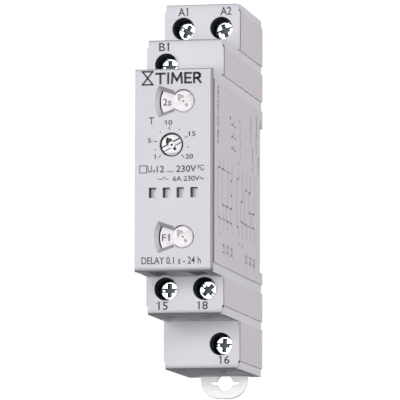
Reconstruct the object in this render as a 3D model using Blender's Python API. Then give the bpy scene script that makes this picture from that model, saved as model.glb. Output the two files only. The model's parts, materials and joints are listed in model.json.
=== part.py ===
"""DIN rail timer relay: one 17.5 mm module with rotary selectors, six screw terminals and a relay.

Frame: origin in the middle of the face that rests on the rail, front towards -Y, +Z up, +X to
the right. Every size below is in millimetres; objects are made in metres.
"""
import math

import bmesh
import bpy
from mathutils import Matrix, Vector

MM = 0.001

# ---- Driving dimensions: the case ---------------------------------------------------------
HALF_WIDTH = 8.75            # one 17.5 mm module
NOSE_Y = -57.0               # front face of the nose
NOSE_Z = 22.5                # half height of the nose
MID_Y = -44.2                # front face of the inner terminal tier
MID_Z = 30.9
END_Y = -25.2                # front face of the outer terminal tier
END_Z = 41.8
BACK_Y = 3.0                 # rear of the feet either side of the rail
RAIL_Z = 17.7                # half height of the rail recess, for a 35 mm rail
HOOK_Z = 16.2                # lowest point of the fixed hook
HOOK_Y = 1.3                 # hook's face, behind the 1 mm rail flange
SEAT_Z = 15.9                # half height of the face that rests on the rail
SEAT_RELIEF = 0.25           # the recess is this much deeper above and below that face
WALL = 1.1
SIDE_WALL = 1.0
BACK_WALL = 1.2
CLEARANCE = 0.3              # between pieces that rest on each other
OVERSHOOT = 1.0              # how far a cutter reaches past what it cuts

COVER_THICK = 1.3            # front cover
COVER_BACK = NOSE_Y + COVER_THICK
RIM_Y = COVER_BACK + CLEARANCE
COVER_ROUND = 0.8            # rounding of the nose's upper front edge
COVER_FOOT_ROUND = 1.3       # of its lower front edge
COVER_SIDE_ROUND = 0.4       # and of its side edges
COVER_STEPS = (0.0, 0.08, 0.22, 0.45, COVER_ROUND, 1.05, COVER_THICK)    # depths of its rings
SLOT_Y = -54.34              # rear of the dark slot behind the front cover
SLOT_DEPTH = 1.5             # the slot on the left side
PANEL_Z = 20.4               # half height of the nose's side panel
BACK_POCKET_X = (-7.3, 6.2)  # moulding pocket in the upper rear foot
BACK_POCKET_Z = (21.0, END_Z - 1.2)

LID_INNER = 7.95             # side cover, from here to HALF_WIDTH
SEAM = 0.15                  # gap round the side cover
LIP = 0.3                    # thickness of the tiers' front lips over the side cover's edge
LID_SETBACK = 1.3            # side cover's front edges behind the tiers' front faces
HOUSING_RIGHT = LID_INNER - SEAM
EDGE_ROUND = 1.1             # rounding of the tiers' outer front edges
BAND_DEPTH = 0.3             # bands between the raised side panels
BANDS = ((PANEL_Z, NOSE_Z), (29.0, MID_Z), (40.0, END_Z))
TAB_THICK = 1.0              # snap tabs of the side cover
TAB_HALF = 2.0
TAB_END = 5.4
BARB_HEIGHT = 0.2
BARB_X = (5.6, 6.4)
SNAP_TABS = ((-50.0, NOSE_Z, 1), (-50.0, NOSE_Z, -1), (-4.0, END_Z, 1), (-4.0, END_Z, -1))
PARTITION_HALF = 0.5         # walls between the left and right terminals
PARTITIONS = ((MID_Y, NOSE_Z - 0.9, MID_Z - 0.5, 17.0), (END_Y, 32.0, END_Z - 0.5, 20.0))

# ---- Driving dimensions: terminals --------------------------------------------------------
SCREW_X = 4.4
SCREW_HOLE = 2.6             # hole in the case's front wall
HOLE_RIM = 0.3               # the hole's thickness; behind it the wall is counterbored
COUNTERBORE = 3.05
GUIDE_COLLAR = 2.8           # collar of the dark screw guide that fills the counterbore
GUIDE_BORE = 2.5
GUIDE_HALF = 3.1
GUIDE_DEPTH = 6.3            # its rear end, behind the tier's front face
HEAD_RADIUS = 2.15
HEAD_DEPTH = 4.8             # head's top below the tier's front face
HEAD_THICK = 1.6
SHANK_RADIUS = 1.3
DRIVE_SLOT = (0.32, 0.6)     # the head's slot: half width and depth
DRIVE_CROSS = (1.3, 0.42, 1.0)    # the head's cross: reach, half width and depth
CAGE_HALF = 2.6
CAGE_WALL = 0.8
CAGE_FRONT = 1.2             # thickness of its front and rear walls
CAGE_REAR = 1.0
CAGE_HALF_LENGTH = 2.7
CAGE_HEIGHT = 7.5
CAGE_DROP = 9.7              # cage's front wall below the tier's front face, open
BAR_DROP = 11.2              # contact bar below the tier's front face
BAR_THICK = 0.8
BAR_HALF = 1.5
BAR_PAST_CAGE = 2.2          # bar's outer end beyond the screw's axis
BAR_INNER_LEFT = 19.6        # bar's inner end, distance from the middle
BAR_INNER_RIGHT = 17.2
BAR_LINK = 1.8               # width of the right bars' link to the main board
ENTRY_HALF = 2.7
ENTRY_FROM = 5.8             # wire entry, distances behind the tier's front face
ENTRY_TO = 17.2
ENTRY_CORNER = 0.8
ENTRY_LEAD_IN = 1.1
RELIEF_FRONT = 3.6           # driver relief's radius at the nose's face, and at the tier
RELIEF_REAR = 3.1
TIERS = {"mid": (MID_Y, 25.2, MID_Z), "end": (END_Y, 36.15, END_Z)}
# name: tier, side (-1 left, 1 right), height sign, turn of the screw's slot in degrees
TERMINALS = {
    "a1": ("end", -1, 1, 28.0),
    "a2": ("end", 1, 1, -20.0),
    "b1": ("mid", -1, 1, 0.0),
    "15": ("mid", -1, -1, 0.0),
    "18": ("mid", 1, -1, 45.0),
    "16": ("end", 1, -1, 4.0),
}

# ---- Driving dimensions: controls on the nose ---------------------------------------------
SCALE_DIAL = (2.15, 15.2)    # x, z of the time range selector
FUNCTION_DIAL = (2.05, -14.9)
TIME_KNOB = (-0.46, 5.54)
DIAL_WINDOW = 2.62
FAN_OUTER = 6.6              # fan window, radius at the front face
FAN_OUTER_ANGLE = 33.0
FAN_INNER = 5.55             # and at the foot of its bevel
FAN_INNER_ANGLE = 27.0
FAN_BEVEL = 1.0
FAN_NECK = (2.35, 1.45)      # its half height at the dial, at the face and at the bevel's foot
DIAL_RADIUS = 5.35
DISC_THICK = 0.8
KNOB_RADIUS = 2.35
KNOB_TOP = NOSE_Y + 0.45
SHAFT_RADIUS = 1.0
SHAFT_END = -51.3
SHAFT_BORE = 1.3
SWITCH_FRONT = -53.7
SWITCH_HALF = 4.5
POTENTIOMETER_HALF = 3.9
TIME_HOLE = 2.7
TIME_RADIUS = 2.45
TIME_FLANGE = 3.3
LED_X = (-4.67, -1.55, 1.56, 4.68)
LED_Z = -5.1
LED_SLOT = (1.67, 2.28)
LED_DEPTH = 2.6
LED_FRAME = 0.6              # wall round the slots behind the cover
LED_FRAME_HALF = 6.4
COVER_TAB_Z = (20.55, 21.1)
COVER_TAB_HALF = 3.0
COVER_TAB_END = -51.2
BOARD_Y = -50.4              # front of the control board
BOARD_THICK = 1.2
BOARD_HALF = (7.1, 19.8)     # its half width and half height
MAIN_X = -7.2                # left face of the main board
MAIN_DEPTH = (-48.8, -2.2)
MAIN_HALF_Z = 20.8
PARTS_X = MAIN_X + BOARD_THICK + CLEARANCE    # where its components stand
BEHIND_BOARD = BOARD_Y + BOARD_THICK + CLEARANCE

LIGHT_GUIDE_Y = (NOSE_Y + LED_DEPTH + CLEARANCE, -52.9)
LIGHT_GUIDE_HALF = (6.1, 1.5)
LED_HALF = (0.8, 0.6)
LED_TIP_Y = -51.5

# ---- Driving dimensions: components on the boards, as (low, high) along x, y and z -----------
HEADER = ((PARTS_X, -3.2), (BEHIND_BOARD, -45.8), (-6.0, 6.0))
CHIP = ((-1.0, 4.0), (BEHIND_BOARD, BEHIND_BOARD + 1.1), (-16.5, -9.5))
FILM_CAPACITOR = ((PARTS_X, 3.0), (-22.8, -9.5), (0.0, 6.5))
RECTIFIER = ((PARTS_X, -3.2), (-8.0, -3.4), (-3.0, 3.0))
# Round components along z: centre (x, y), radius and (low, high).
SMOOTHING_CAPACITOR = ((0.4, -16.0), 5.0, (-15.5, -2.5))
VARISTOR = ((-1.2, -16.2), 4.0, (8.0, 10.6))
CHOKE = ((-3.6, -6.0), 1.8, (5.0, 13.0))
FUSE_RESISTOR = ((-4.3, -6.2), 1.2, (-14.5, -6.5))

# ---- Driving dimensions: rail latch -------------------------------------------------------
LATCH_HALF = 5.5
LATCH_FRONT = 0.7
LATCH_BACK = 2.3
LATCH_BOTTOM = -46.9
LATCH_TOP = -16.2
LATCH_HOLE_X = 0.3
LATCH_HOLE_Z = -43.3
NOTCH = (3.3, 0.35)          # notches either side of the hole: reach and half height
LATCH_HOLE = 1.9
LATCH_RADIUS = 4.2           # rounding of the tongue's lower corners
LATCH_RIBS = (6.3, 1.2, 1.8, -38.0, -20.0)    # half width, y and z of the ribs in the grooves
GROOVE = (6.6, 0.95, 2.05)   # the grooves' half width and y
POCKET_HALF = 1.5            # pocket for the spring
POCKET_LOW = -34.0
PEG = (1.2, -0.3, 2.2, -33.7)    # half width, y and low end of the peg that the spring stands on
SPRING_Y = 1.6
SPRING_RADIUS = 1.0
SPRING_WIRE = 0.2
SPRING_LOW = -32.2
SPRING_HIGH = -23.3
SPRING_TURNS = 8
SPRING_STEPS = 12            # straight pieces in one turn

# ---- Driving dimensions: relay ------------------------------------------------------------
RELAY_LOW = -16.8
RELAY_HIGH = 8.8
RELAY_FRONT = -42.8
RELAY_REAR = -24.8
RELAY_BASE_TOP = -4.8        # the base's face, towards +x
RELAY_TOP_X = 6.9
RELAY_WALL = 0.6
COIL_X = 0.8
COIL_Y = -36.9
COIL_RADIUS = 3.6
COIL_Z = (-13.6, 2.2)
FLANGE_RADIUS = 4.3
FLANGE_THICK = 0.8
CORE_RADIUS = 1.5
POLE_RADIUS = 2.6
POLE_Z = 3.9
POLE_THICK = 1.3
YOKE_HALF = 3.8
YOKE_THICK = 1.0
YOKE_Y = (-41.2, -31.0)
YOKE_LOW = -15.2
ARMATURE_HINGE = (-30.8, 3.2)    # y, z
ARMATURE_HALF = 3.5
ARMATURE_Y = (-40.8, -28.2)
AIR_GAP = 0.9
BLADE_LOW = -7.4
BLADE_HALF = 1.2
BLADE_Y = (-28.9, -28.5)
CONTACT_Z = -6.0
CONTACT_RADIUS = 0.9
REST_CONTACT_Y = -29.65
WORK_CONTACT_Y = -26.95


# ---- Building blocks ----------------------------------------------------------------------
def clear_scene():
    """Start from an empty scene."""
    for existing in list(bpy.data.objects):
        bpy.data.objects.remove(existing)


def material(name, colour, roughness, metallic=0.0):
    """A Principled BSDF with one colour."""
    made = bpy.data.materials.get(name)
    if made is None:
        made = bpy.data.materials.new(name)
        made.use_nodes = True
        shader = made.node_tree.nodes["Principled BSDF"]
        shader.inputs["Base Color"].default_value = (*colour, 1.0)
        shader.inputs["Roughness"].default_value = roughness
        shader.inputs["Metallic"].default_value = metallic
    return made


def grey_plastic():
    return material("grey_plastic", (0.66, 0.65, 0.68), 0.5)


def white_plastic():
    return material("white_plastic", (0.85, 0.84, 0.85), 0.45)


def dark_plastic():
    return material("dark_plastic", (0.05, 0.05, 0.06), 0.5)


def blue_plastic():
    return material("blue_plastic", (0.08, 0.16, 0.45), 0.5)


def board_green():
    return material("board_green", (0.03, 0.22, 0.10), 0.45)


def zinc():
    return material("zinc", (0.75, 0.76, 0.78), 0.3, 1.0)


def copper():
    return material("copper", (0.72, 0.40, 0.24), 0.35, 1.0)


def brass():
    return material("brass", (0.72, 0.58, 0.30), 0.35, 1.0)


def iron():
    return material("iron", (0.45, 0.45, 0.47), 0.4, 1.0)


def place(across, along, axis):
    """A 2D outline point and a distance along the axis, as a 3D point."""
    u, v = across
    if axis == "X":
        return Vector((along, u, v))
    if axis == "Y":
        return Vector((u, along, v))
    return Vector((u, v, along))


def stack(rings, axis):
    """A closed solid through several outlines, each given with its distance along the axis."""
    bm = bmesh.new()
    loops = [[bm.verts.new(place(point, along, axis)) for point in outline] for outline, along in rings]
    bm.faces.new(loops[0])
    bm.faces.new(loops[-1])
    for low, high in zip(loops, loops[1:]):
        for index in range(len(low)):
            after = (index + 1) % len(low)
            bm.faces.new((low[index], low[after], high[after], high[index]))
    bmesh.ops.recalc_face_normals(bm, faces=bm.faces)
    return bm


def loft(first, second, start, end, axis):
    """A closed solid between two outlines with the same number of points."""
    return stack([(first, start), (second, end)], axis)


def prism(outline, start, end, axis):
    """An outline pushed along an axis."""
    return loft(outline, outline, start, end, axis)


def block(x, y, z):
    """A box from three (low, high) pairs."""
    outline = [(x[0], z[0]), (x[1], z[0]), (x[1], z[1]), (x[0], z[1])]
    return prism(outline, y[0], y[1], "Y")


def circle(centre, radius, sides=32):
    """Points round a circle."""
    points = []
    for index in range(sides):
        angle = math.tau * (index + 0.5) / sides
        points.append((centre[0] + radius * math.cos(angle), centre[1] + radius * math.sin(angle)))
    return points


def rod(centre, radius, start, end, axis, sides=32):
    """A cylinder along an axis."""
    return prism(circle(centre, radius, sides), start, end, axis)


def cone(centre, radius_start, radius_end, start, end, axis, sides=32):
    """A cone frustum along an axis."""
    first = circle(centre, radius_start, sides)
    return loft(first, circle(centre, radius_end, sides), start, end, axis)


def turned_about(bm, centre, axis, degrees):
    """Turn a solid about an axis through a point."""
    matrix = Matrix.Rotation(math.radians(degrees), 4, axis)
    bmesh.ops.rotate(bm, verts=bm.verts, cent=Vector(centre), matrix=matrix)
    return bm


def combine(base, tool, operation):
    """Join, cut or intersect two solids; the result replaces the base."""
    objects = []
    for label, bm in (("base", base), ("tool", tool)):
        mesh = bpy.data.meshes.new(label)
        bm.to_mesh(mesh)
        bm.free()
        made = bpy.data.objects.new(label, mesh)
        bpy.context.scene.collection.objects.link(made)
        objects.append(made)
    boolean = objects[0].modifiers.new("boolean", "BOOLEAN")
    boolean.operation = operation
    boolean.object = objects[1]
    graph = bpy.context.evaluated_depsgraph_get()
    result = bmesh.new()
    result.from_object(objects[0], graph)
    for made in objects:
        bpy.data.objects.remove(made)
    return result


def cut(base, *tools):
    """Take each tool away from the base."""
    for tool in tools:
        base = combine(base, tool, "DIFFERENCE")
    return base


def join(base, *tools):
    """Add each tool to the base."""
    for tool in tools:
        base = combine(base, tool, "UNION")
    return base


def bevel_edges(bm, chosen, width, segments=2):
    """Bevel the edges for which chosen(edge) is true."""
    edges = [edge for edge in bm.edges if chosen(edge)]
    bmesh.ops.bevel(bm, geom=edges, offset=width, segments=segments, profile=0.5, affect="EDGES")
    return bm


def add(name, bm, made_of, origin=(0.0, 0.0, 0.0), smooth=False):
    """Turn a solid in millimetres into a named object in metres, with its origin where given."""
    bmesh.ops.remove_doubles(bm, verts=bm.verts, dist=0.0005)
    shift = Matrix.Translation(-Vector(origin))
    bmesh.ops.transform(bm, matrix=Matrix.Scale(MM, 4) @ shift, verts=bm.verts)
    mesh = bpy.data.meshes.new(name)
    bm.to_mesh(mesh)
    bm.free()
    if smooth:
        mesh.shade_smooth()
        mesh.set_sharp_from_angle(angle=math.radians(35))
    made = bpy.data.objects.new(name, mesh)
    made.location = Vector(origin) * MM
    made.data.materials.append(made_of)
    bpy.context.scene.collection.objects.link(made)
    return made


# ---- The case -----------------------------------------------------------------------------
def mirrored(upper):
    """A side outline (y, z) from its upper half."""
    return upper + [(y, -z) for y, z in reversed(upper)]


def rounded_corner(y, z, radius, steps=4):
    """The points of a tier's outer front corner, rounded off."""
    if radius <= 0:
        return [(y, z)]
    points = []
    for index in range(steps + 1):
        angle = math.radians(180 - 90 * index / steps)
        points.append((y + radius + radius * math.cos(angle), z - radius + radius * math.sin(angle)))
    return points


def tier_outline(front, inset=0.0, back=BACK_Y):
    """The stepped side outline, moved inwards by an inset, without the rail recess."""
    radius = EDGE_ROUND - inset
    return mirrored([
        (front, NOSE_Z - inset),
        (MID_Y + inset, NOSE_Z - inset),
        *rounded_corner(MID_Y + inset, MID_Z - inset, radius),
        (END_Y + inset, MID_Z - inset),
        *rounded_corner(END_Y + inset, END_Z - inset, radius),
        (back, END_Z - inset),
    ])


def lid_space(setback, grow):
    """The side cover's stepped outline, set back behind the tiers' front faces and grown in height."""
    return mirrored([
        (NOSE_Y - 2, NOSE_Z + grow),
        (MID_Y + setback, NOSE_Z + grow),
        (MID_Y + setback, MID_Z + grow),
        (END_Y + setback, MID_Z + grow),
        (END_Y + setback, END_Z + 2),
        (BACK_Y + 2, END_Z + 2),
    ])


def side_outline(front):
    """The stepped side outline with the rail recess, its raised seat and the fixed hook."""
    stepped = tier_outline(front)
    recess = [
        (BACK_Y, HOOK_Z),
        (HOOK_Y, HOOK_Z),
        (HOOK_Y, RAIL_Z),
        (-SEAT_RELIEF, RAIL_Z),
        (-SEAT_RELIEF, SEAT_Z),
        (0.0, SEAT_Z),
        (0.0, -SEAT_Z),
        (-SEAT_RELIEF, -SEAT_Z),
        (-SEAT_RELIEF, -RAIL_Z),
        (BACK_Y, -RAIL_Z),
    ]
    middle = len(stepped) // 2
    return stepped[:middle] + recess + stepped[middle:]


def terminal_places():
    """Name, centre x, centre z, tier's front y, tier's outer z and slot turn of each terminal."""
    for name, (tier, side, up, turn) in TERMINALS.items():
        front, height, outer = TIERS[tier]
        yield name, side * SCREW_X, up * height, front, up * outer, turn


def screw_holes():
    """The round holes in the tiers' front walls, counterbored from behind."""
    for _, x, z, front, _, _ in terminal_places():
        yield rod((x, z), SCREW_HOLE, front - 1.0, front + 2.0, "Y", 36)
        yield rod((x, z), COUNTERBORE, front + HOLE_RIM, front + 2.0, "Y", 36)


def wire_entries():
    """A straight-sided entry with a chamfered lead-in under each tier."""
    for _, x, z, front, outer, _ in terminal_places():
        up = 1 if outer > 0 else -1
        inside = outer - up * (WALL + 0.5)
        outside = outer + up * 0.5
        narrow = entry_outline(x, front, 0.0)
        wide = entry_outline(x, front, ENTRY_LEAD_IN)
        yield prism(narrow, min(inside, outside), max(inside, outside), "Z")
        yield loft(narrow, wide, outer - up * 0.6, outside, "Z")


def entry_outline(x, front, grow):
    """A wire entry's outline (x, y) with its corners taken off."""
    left = x - ENTRY_HALF - grow * 0.25
    right = x + ENTRY_HALF + grow * 0.25
    near = front + ENTRY_FROM - grow
    far = front + ENTRY_TO + grow * 0.5
    corner = ENTRY_CORNER
    return [
        (left + corner, near), (right - corner, near), (right, near + corner), (right, far - corner),
        (right - corner, far), (left + corner, far), (left, far - corner), (left, near + corner),
    ]


def driver_reliefs():
    """Cone-shaped reliefs in the nose for a screwdriver over the inner terminals."""
    for _, x, z, front, _, _ in terminal_places():
        if front == MID_Y:
            yield cone((x, z), RELIEF_FRONT, RELIEF_REAR, RIM_Y - 0.2, MID_Y + 0.2, "Y", 28)


def partitions():
    """Walls between the left and right terminals of each tier."""
    for up in (1, -1):
        for front, low, high, deep in PARTITIONS:
            z = sorted((up * low, up * high))
            yield block((-PARTITION_HALF, PARTITION_HALF), (front + 0.7, front + deep), z)


def latch_channel():
    """Cutters for the channel that the latch slides in, with a groove down each side."""
    half, near, far = GROOVE
    z = (-END_Z - OVERSHOOT, -RAIL_Z + OVERSHOOT)
    yield block((-LATCH_HALF - CLEARANCE, LATCH_HALF + CLEARANCE), (0.0, BACK_Y + OVERSHOOT), z)
    yield block((-half, half), (near, far), z)


def band_grooves(x_low, x_high):
    """Cutters for the bands between the raised side panels."""
    for low, high in BANDS:
        for up in (1, -1):
            z = sorted((up * low, up * (high + (1.0 if high == END_Z else 0.0))))
            yield block((x_low, x_high), (NOSE_Y - 1, BACK_Y + 1), z)


def make_housing():
    """The case: left side, tiers, back and fixed hook in one moulding, open to the right."""
    outside = HALF_WIDTH + OVERSHOOT
    body = prism(side_outline(RIM_Y), -HALF_WIDTH, HALF_WIDTH, "X")
    body = cut(body, prism(lid_space(LIP, SEAM), HOUSING_RIGHT, outside, "X"))
    hollow = tier_outline(NOSE_Y - OVERSHOOT, WALL, -BACK_WALL)
    body = cut(body, prism(hollow, -HALF_WIDTH + SIDE_WALL, outside, "X"))
    body = join(body, *partitions())
    body = cut(body, *screw_holes(), *wire_entries(), *driver_reliefs())
    body = cut(body, block(BACK_POCKET_X, (0.0, BACK_Y + OVERSHOOT), BACK_POCKET_Z))
    body = cut(body, *latch_channel(), *band_grooves(-outside, -HALF_WIDTH + BAND_DEPTH))
    body = cut(body, *band_grooves(HALF_WIDTH - BAND_DEPTH, outside))
    slot = block((-outside, -HALF_WIDTH + SLOT_DEPTH), (NOSE_Y, SLOT_Y), (-PANEL_Z, PANEL_Z))
    body = cut(body, slot)
    half, near, far, low = PEG
    peg = block((-half, half), (near, far), (low, SPRING_LOW - CLEARANCE))
    add("housing_body", join(body, peg), grey_plastic())


def make_side_cover():
    """The snap-on right wall; its nose stands back behind the slot, apart from its corners."""
    lid = prism(side_outline(RIM_Y), LID_INNER, HALF_WIDTH, "X")
    across = (LID_INNER - OVERSHOOT, HALF_WIDTH + OVERSHOOT)
    lid = combine(lid, prism(lid_space(LID_SETBACK, 0.0), *across, "X"), "INTERSECT")
    lid = cut(lid, block(across, (NOSE_Y - OVERSHOOT, SLOT_Y), (-PANEL_Z, PANEL_Z)))
    lid = cut(lid, *band_grooves(HALF_WIDTH - BAND_DEPTH, across[1]))
    # Snap tabs that reach in beside the outer walls, each with a barb.
    for y, z, up in SNAP_TABS:
        outer = z - WALL - CLEARANCE
        tab = sorted((up * outer, up * (outer - TAB_THICK)))
        barb = sorted((up * (outer + BARB_HEIGHT), up * (outer - TAB_THICK / 2)))
        lid = join(lid, block((TAB_END, LID_INNER + 0.3), (y - TAB_HALF, y + TAB_HALF), tab))
        lid = join(lid, block(BARB_X, (y - TAB_HALF + 0.3, y + TAB_HALF - 0.3), barb))
    add("side_cover", lid, grey_plastic())


def fan_outline(centre, radius, half_angle, neck):
    """A fan that opens to the left of a dial's centre, from a neck inside the round window."""
    x, z = centre
    points = [(x - 1.9, z - neck), (x - 1.9, z + neck)]
    steps = 10
    for index in range(steps + 1):
        angle = math.radians(180 - half_angle + 2 * half_angle * index / steps)
        points.append((x + radius * math.cos(angle), z + radius * math.sin(angle)))
    return points


def rounding_inset(depth, radius):
    """How far a rounded edge stands in from its full size, at a depth behind the face."""
    reach = max(0.0, 1 - depth / radius)
    return radius * (1 - math.sqrt(1 - reach ** 2))


def cover_outline(depth):
    """The front cover's outline at a depth behind its face, inside the roundings of its edges."""
    half_x = HALF_WIDTH - rounding_inset(depth, COVER_SIDE_ROUND)
    top = NOSE_Z - rounding_inset(depth, COVER_ROUND)
    foot = -NOSE_Z + rounding_inset(depth, COVER_FOOT_ROUND)
    return [(-half_x, foot), (half_x, foot), (half_x, top), (-half_x, top)]


def make_front_cover():
    """The printed front plate, with fan windows over the selectors and slots over the indicators."""
    cover = stack([(cover_outline(depth), NOSE_Y + depth) for depth in COVER_STEPS], "Y")
    half_x = LED_SLOT[0] / 2
    half_z = LED_SLOT[1] / 2
    frame_z = (LED_Z - half_z - LED_FRAME, LED_Z + half_z + LED_FRAME)
    frame = block((-LED_FRAME_HALF, LED_FRAME_HALF), (COVER_BACK - 0.2, NOSE_Y + LED_DEPTH), frame_z)
    cover = join(cover, frame)
    through = (NOSE_Y - OVERSHOOT, NOSE_Y + LED_DEPTH + OVERSHOOT)
    for x in LED_X:
        cover = cut(cover, block((x - half_x, x + half_x), through, (LED_Z - half_z, LED_Z + half_z)))
    for centre in (SCALE_DIAL, FUNCTION_DIAL):
        wide = fan_outline(centre, FAN_OUTER, FAN_OUTER_ANGLE, FAN_NECK[0])
        narrow = fan_outline(centre, FAN_INNER, FAN_INNER_ANGLE, FAN_NECK[1])
        # The bevel's cutter starts in front of the face, so it is lengthened in proportion.
        over = [(a[0] + (a[0] - b[0]) * 0.5, a[1] + (a[1] - b[1]) * 0.5) for a, b in zip(wide, narrow)]
        cover = cut(cover, loft(over, narrow, NOSE_Y - 0.5 * FAN_BEVEL, NOSE_Y + FAN_BEVEL, "Y"))
        cover = cut(cover, prism(narrow, NOSE_Y + 0.5, COVER_BACK + OVERSHOOT, "Y"))
        cover = cut(cover, rod(centre, DIAL_WINDOW, NOSE_Y - OVERSHOOT, COVER_BACK + OVERSHOOT, "Y", 36))
    cover = cut(cover, rod(TIME_KNOB, TIME_HOLE, NOSE_Y - OVERSHOOT, COVER_BACK + OVERSHOOT, "Y", 36))
    # Snap tabs behind the plate, inside the nose's upper and lower walls.
    for up in (1, -1):
        height = sorted((up * COVER_TAB_Z[0], up * COVER_TAB_Z[1]))
        depth = (COVER_BACK - 0.2, COVER_TAB_END)
        cover = join(cover, block((-COVER_TAB_HALF, COVER_TAB_HALF), depth, height))
    add("front_cover", cover, grey_plastic())


# ---- Controls and indicators --------------------------------------------------------------
def cross_slot(centre, top, depth, arm, width, degrees):
    """Two crossed slots, turned about the piece's own axis."""
    x, z = centre
    for turn, reach in ((degrees, arm), (degrees + 90, arm * 0.72)):
        slot = block((x - reach, x + reach), (top - 1, top + depth), (z - width, z + width))
        yield turned_about(slot, (x, 0, z), "Y", turn)


def make_selector(name, centre):
    """A printed disc behind its window, a slotted knob in front and a shaft behind."""
    disc = rod(centre, DIAL_RADIUS, RIM_Y, RIM_Y + DISC_THICK, "Y", 48)
    knob = rod(centre, KNOB_RADIUS, KNOB_TOP, RIM_Y + 0.4, "Y", 36)
    shaft = rod(centre, SHAFT_RADIUS, RIM_Y + 0.4, SHAFT_END, "Y", 20)
    dial = join(disc, knob, shaft)
    dial = cut(dial, *cross_slot(centre, KNOB_TOP, 0.8, 1.9, 0.32, 0))
    add(name, dial, white_plastic(), (centre[0], RIM_Y, centre[1]), True)


def make_time_knob():
    """The time setting knob, with a flange that holds it in behind the cover."""
    knob = rod(TIME_KNOB, TIME_RADIUS, KNOB_TOP, RIM_Y + 0.3, "Y", 36)
    flange = rod(TIME_KNOB, TIME_FLANGE, RIM_Y, RIM_Y + DISC_THICK, "Y", 36)
    shaft = rod(TIME_KNOB, SHAFT_RADIUS, RIM_Y + 0.4, SHAFT_END, "Y", 20)
    knob = join(knob, flange, shaft)
    knob = cut(knob, *cross_slot(TIME_KNOB, KNOB_TOP, 0.9, 2.0, 0.45, -30))
    add("time_knob", knob, white_plastic(), (TIME_KNOB[0], RIM_Y, TIME_KNOB[1]), True)


def make_switch(name, centre, half, made_of):
    """A square rotary switch or potentiometer on the control board, open for its shaft."""
    x, z = centre
    body = block((x - half, x + half), (SWITCH_FRONT, BOARD_Y - CLEARANCE), (z - half, z + half))
    body = cut(body, rod(centre, SHAFT_BORE, SWITCH_FRONT - OVERSHOOT, BOARD_Y + OVERSHOOT, "Y", 20))
    add(name, body, made_of)


def make_indicators():
    """The light guide behind the indicator slots, and the two lamps that shine into it."""
    half_x, half_z = LIGHT_GUIDE_HALF
    guide = block((-half_x, half_x), LIGHT_GUIDE_Y, (LED_Z - half_z, LED_Z + half_z))
    lamps = (("supply_led", LED_X[0], (0.1, 0.7, 0.2)), ("relay_led", LED_X[3], (0.8, 0.1, 0.08)))
    half_x, half_z = LED_HALF
    for name, x, colour in lamps:
        foot_y = (LIGHT_GUIDE_Y[1] - CLEARANCE, LED_TIP_Y - 0.4)
        foot = block((x - half_x, x + half_x), foot_y, (LED_Z - half_z, LED_Z + half_z))
        guide = join(guide, foot)
        body_y = (LED_TIP_Y, BOARD_Y - CLEARANCE)
        body = block((x - half_x, x + half_x), body_y, (LED_Z - half_z, LED_Z + half_z))
        add(name, body, material(name, colour, 0.3))
    add("light_guide", guide, white_plastic())


# ---- Boards and components ----------------------------------------------------------------
def make_boards():
    half_x, half_z = BOARD_HALF
    control = block((-half_x, half_x), (BOARD_Y, BOARD_Y + BOARD_THICK), (-half_z, half_z))
    add("control_board", control, board_green())
    main = block((MAIN_X, MAIN_X + BOARD_THICK), MAIN_DEPTH, (-MAIN_HALF_Z, MAIN_HALF_Z))
    add("main_board", main, board_green())
    add("board_header", block(*HEADER), dark_plastic())
    chip = block(*CHIP)
    bevel_edges(chip, lambda edge: all(v.co.y > CHIP[1][1] - 0.1 for v in edge.verts), 0.3, 1)
    add("microcontroller", chip, dark_plastic())


def round_component(name, size, made_of, sides, rounding=0.0):
    """A component that lies along z, with its ends' edges rounded."""
    centre, radius, z = size
    made = rod(centre, radius, *z, "Z", sides)
    if rounding:
        bevel_edges(made, lambda edge: abs(edge.verts[0].co.z - edge.verts[1].co.z) < 0.1, rounding, 2)
    add(name, made, made_of, smooth=True)


def make_components():
    round_component("smoothing_capacitor", SMOOTHING_CAPACITOR, dark_plastic(), 32, 0.5)
    round_component("varistor", VARISTOR, blue_plastic(), 24, 0.8)
    round_component("choke", CHOKE, dark_plastic(), 20)
    resistor_green = material("resistor_green", (0.2, 0.4, 0.3), 0.5)
    round_component("fuse_resistor", FUSE_RESISTOR, resistor_green, 16, 0.3)
    film = block(*FILM_CAPACITOR)
    bevel_edges(film, lambda edge: True, 0.4, 1)
    add("film_capacitor", film, blue_plastic())
    add("rectifier", block(*RECTIFIER), dark_plastic())


# ---- Relay --------------------------------------------------------------------------------
def make_relay_case():
    """The relay's base, and its cover, which is open towards the base."""
    depth = (RELAY_FRONT, RELAY_REAR)
    height = (RELAY_LOW, RELAY_HIGH)
    add("relay_base", block((PARTS_X, RELAY_BASE_TOP), depth, height), dark_plastic())
    cover = block((RELAY_BASE_TOP + CLEARANCE, RELAY_TOP_X), depth, height)
    bevel_edges(cover, lambda edge: all(v.co.x > RELAY_TOP_X - 0.1 for v in edge.verts), 0.5, 1)
    inner = block((RELAY_BASE_TOP - OVERSHOOT, RELAY_TOP_X - RELAY_WALL),
                  (RELAY_FRONT + RELAY_WALL, RELAY_REAR - RELAY_WALL),
                  (RELAY_LOW + RELAY_WALL, RELAY_HIGH - RELAY_WALL))
    add("relay_cover", cut(cover, inner), white_plastic())


def make_coil():
    """A flanged bobbin full of winding, open through the middle for the core."""
    centre = (COIL_X, COIL_Y)
    low, high = COIL_Z
    coil = rod(centre, COIL_RADIUS, low + 0.3, high - 0.2, "Z", 28)
    for start in (low, high - FLANGE_THICK):
        coil = join(coil, rod(centre, FLANGE_RADIUS, start, start + FLANGE_THICK, "Z", 28))
    bore = rod(centre, CORE_RADIUS + CLEARANCE, low - OVERSHOOT, high + OVERSHOOT, "Z", 20)
    add("relay_coil", cut(coil, bore), copper(), smooth=True)


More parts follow.
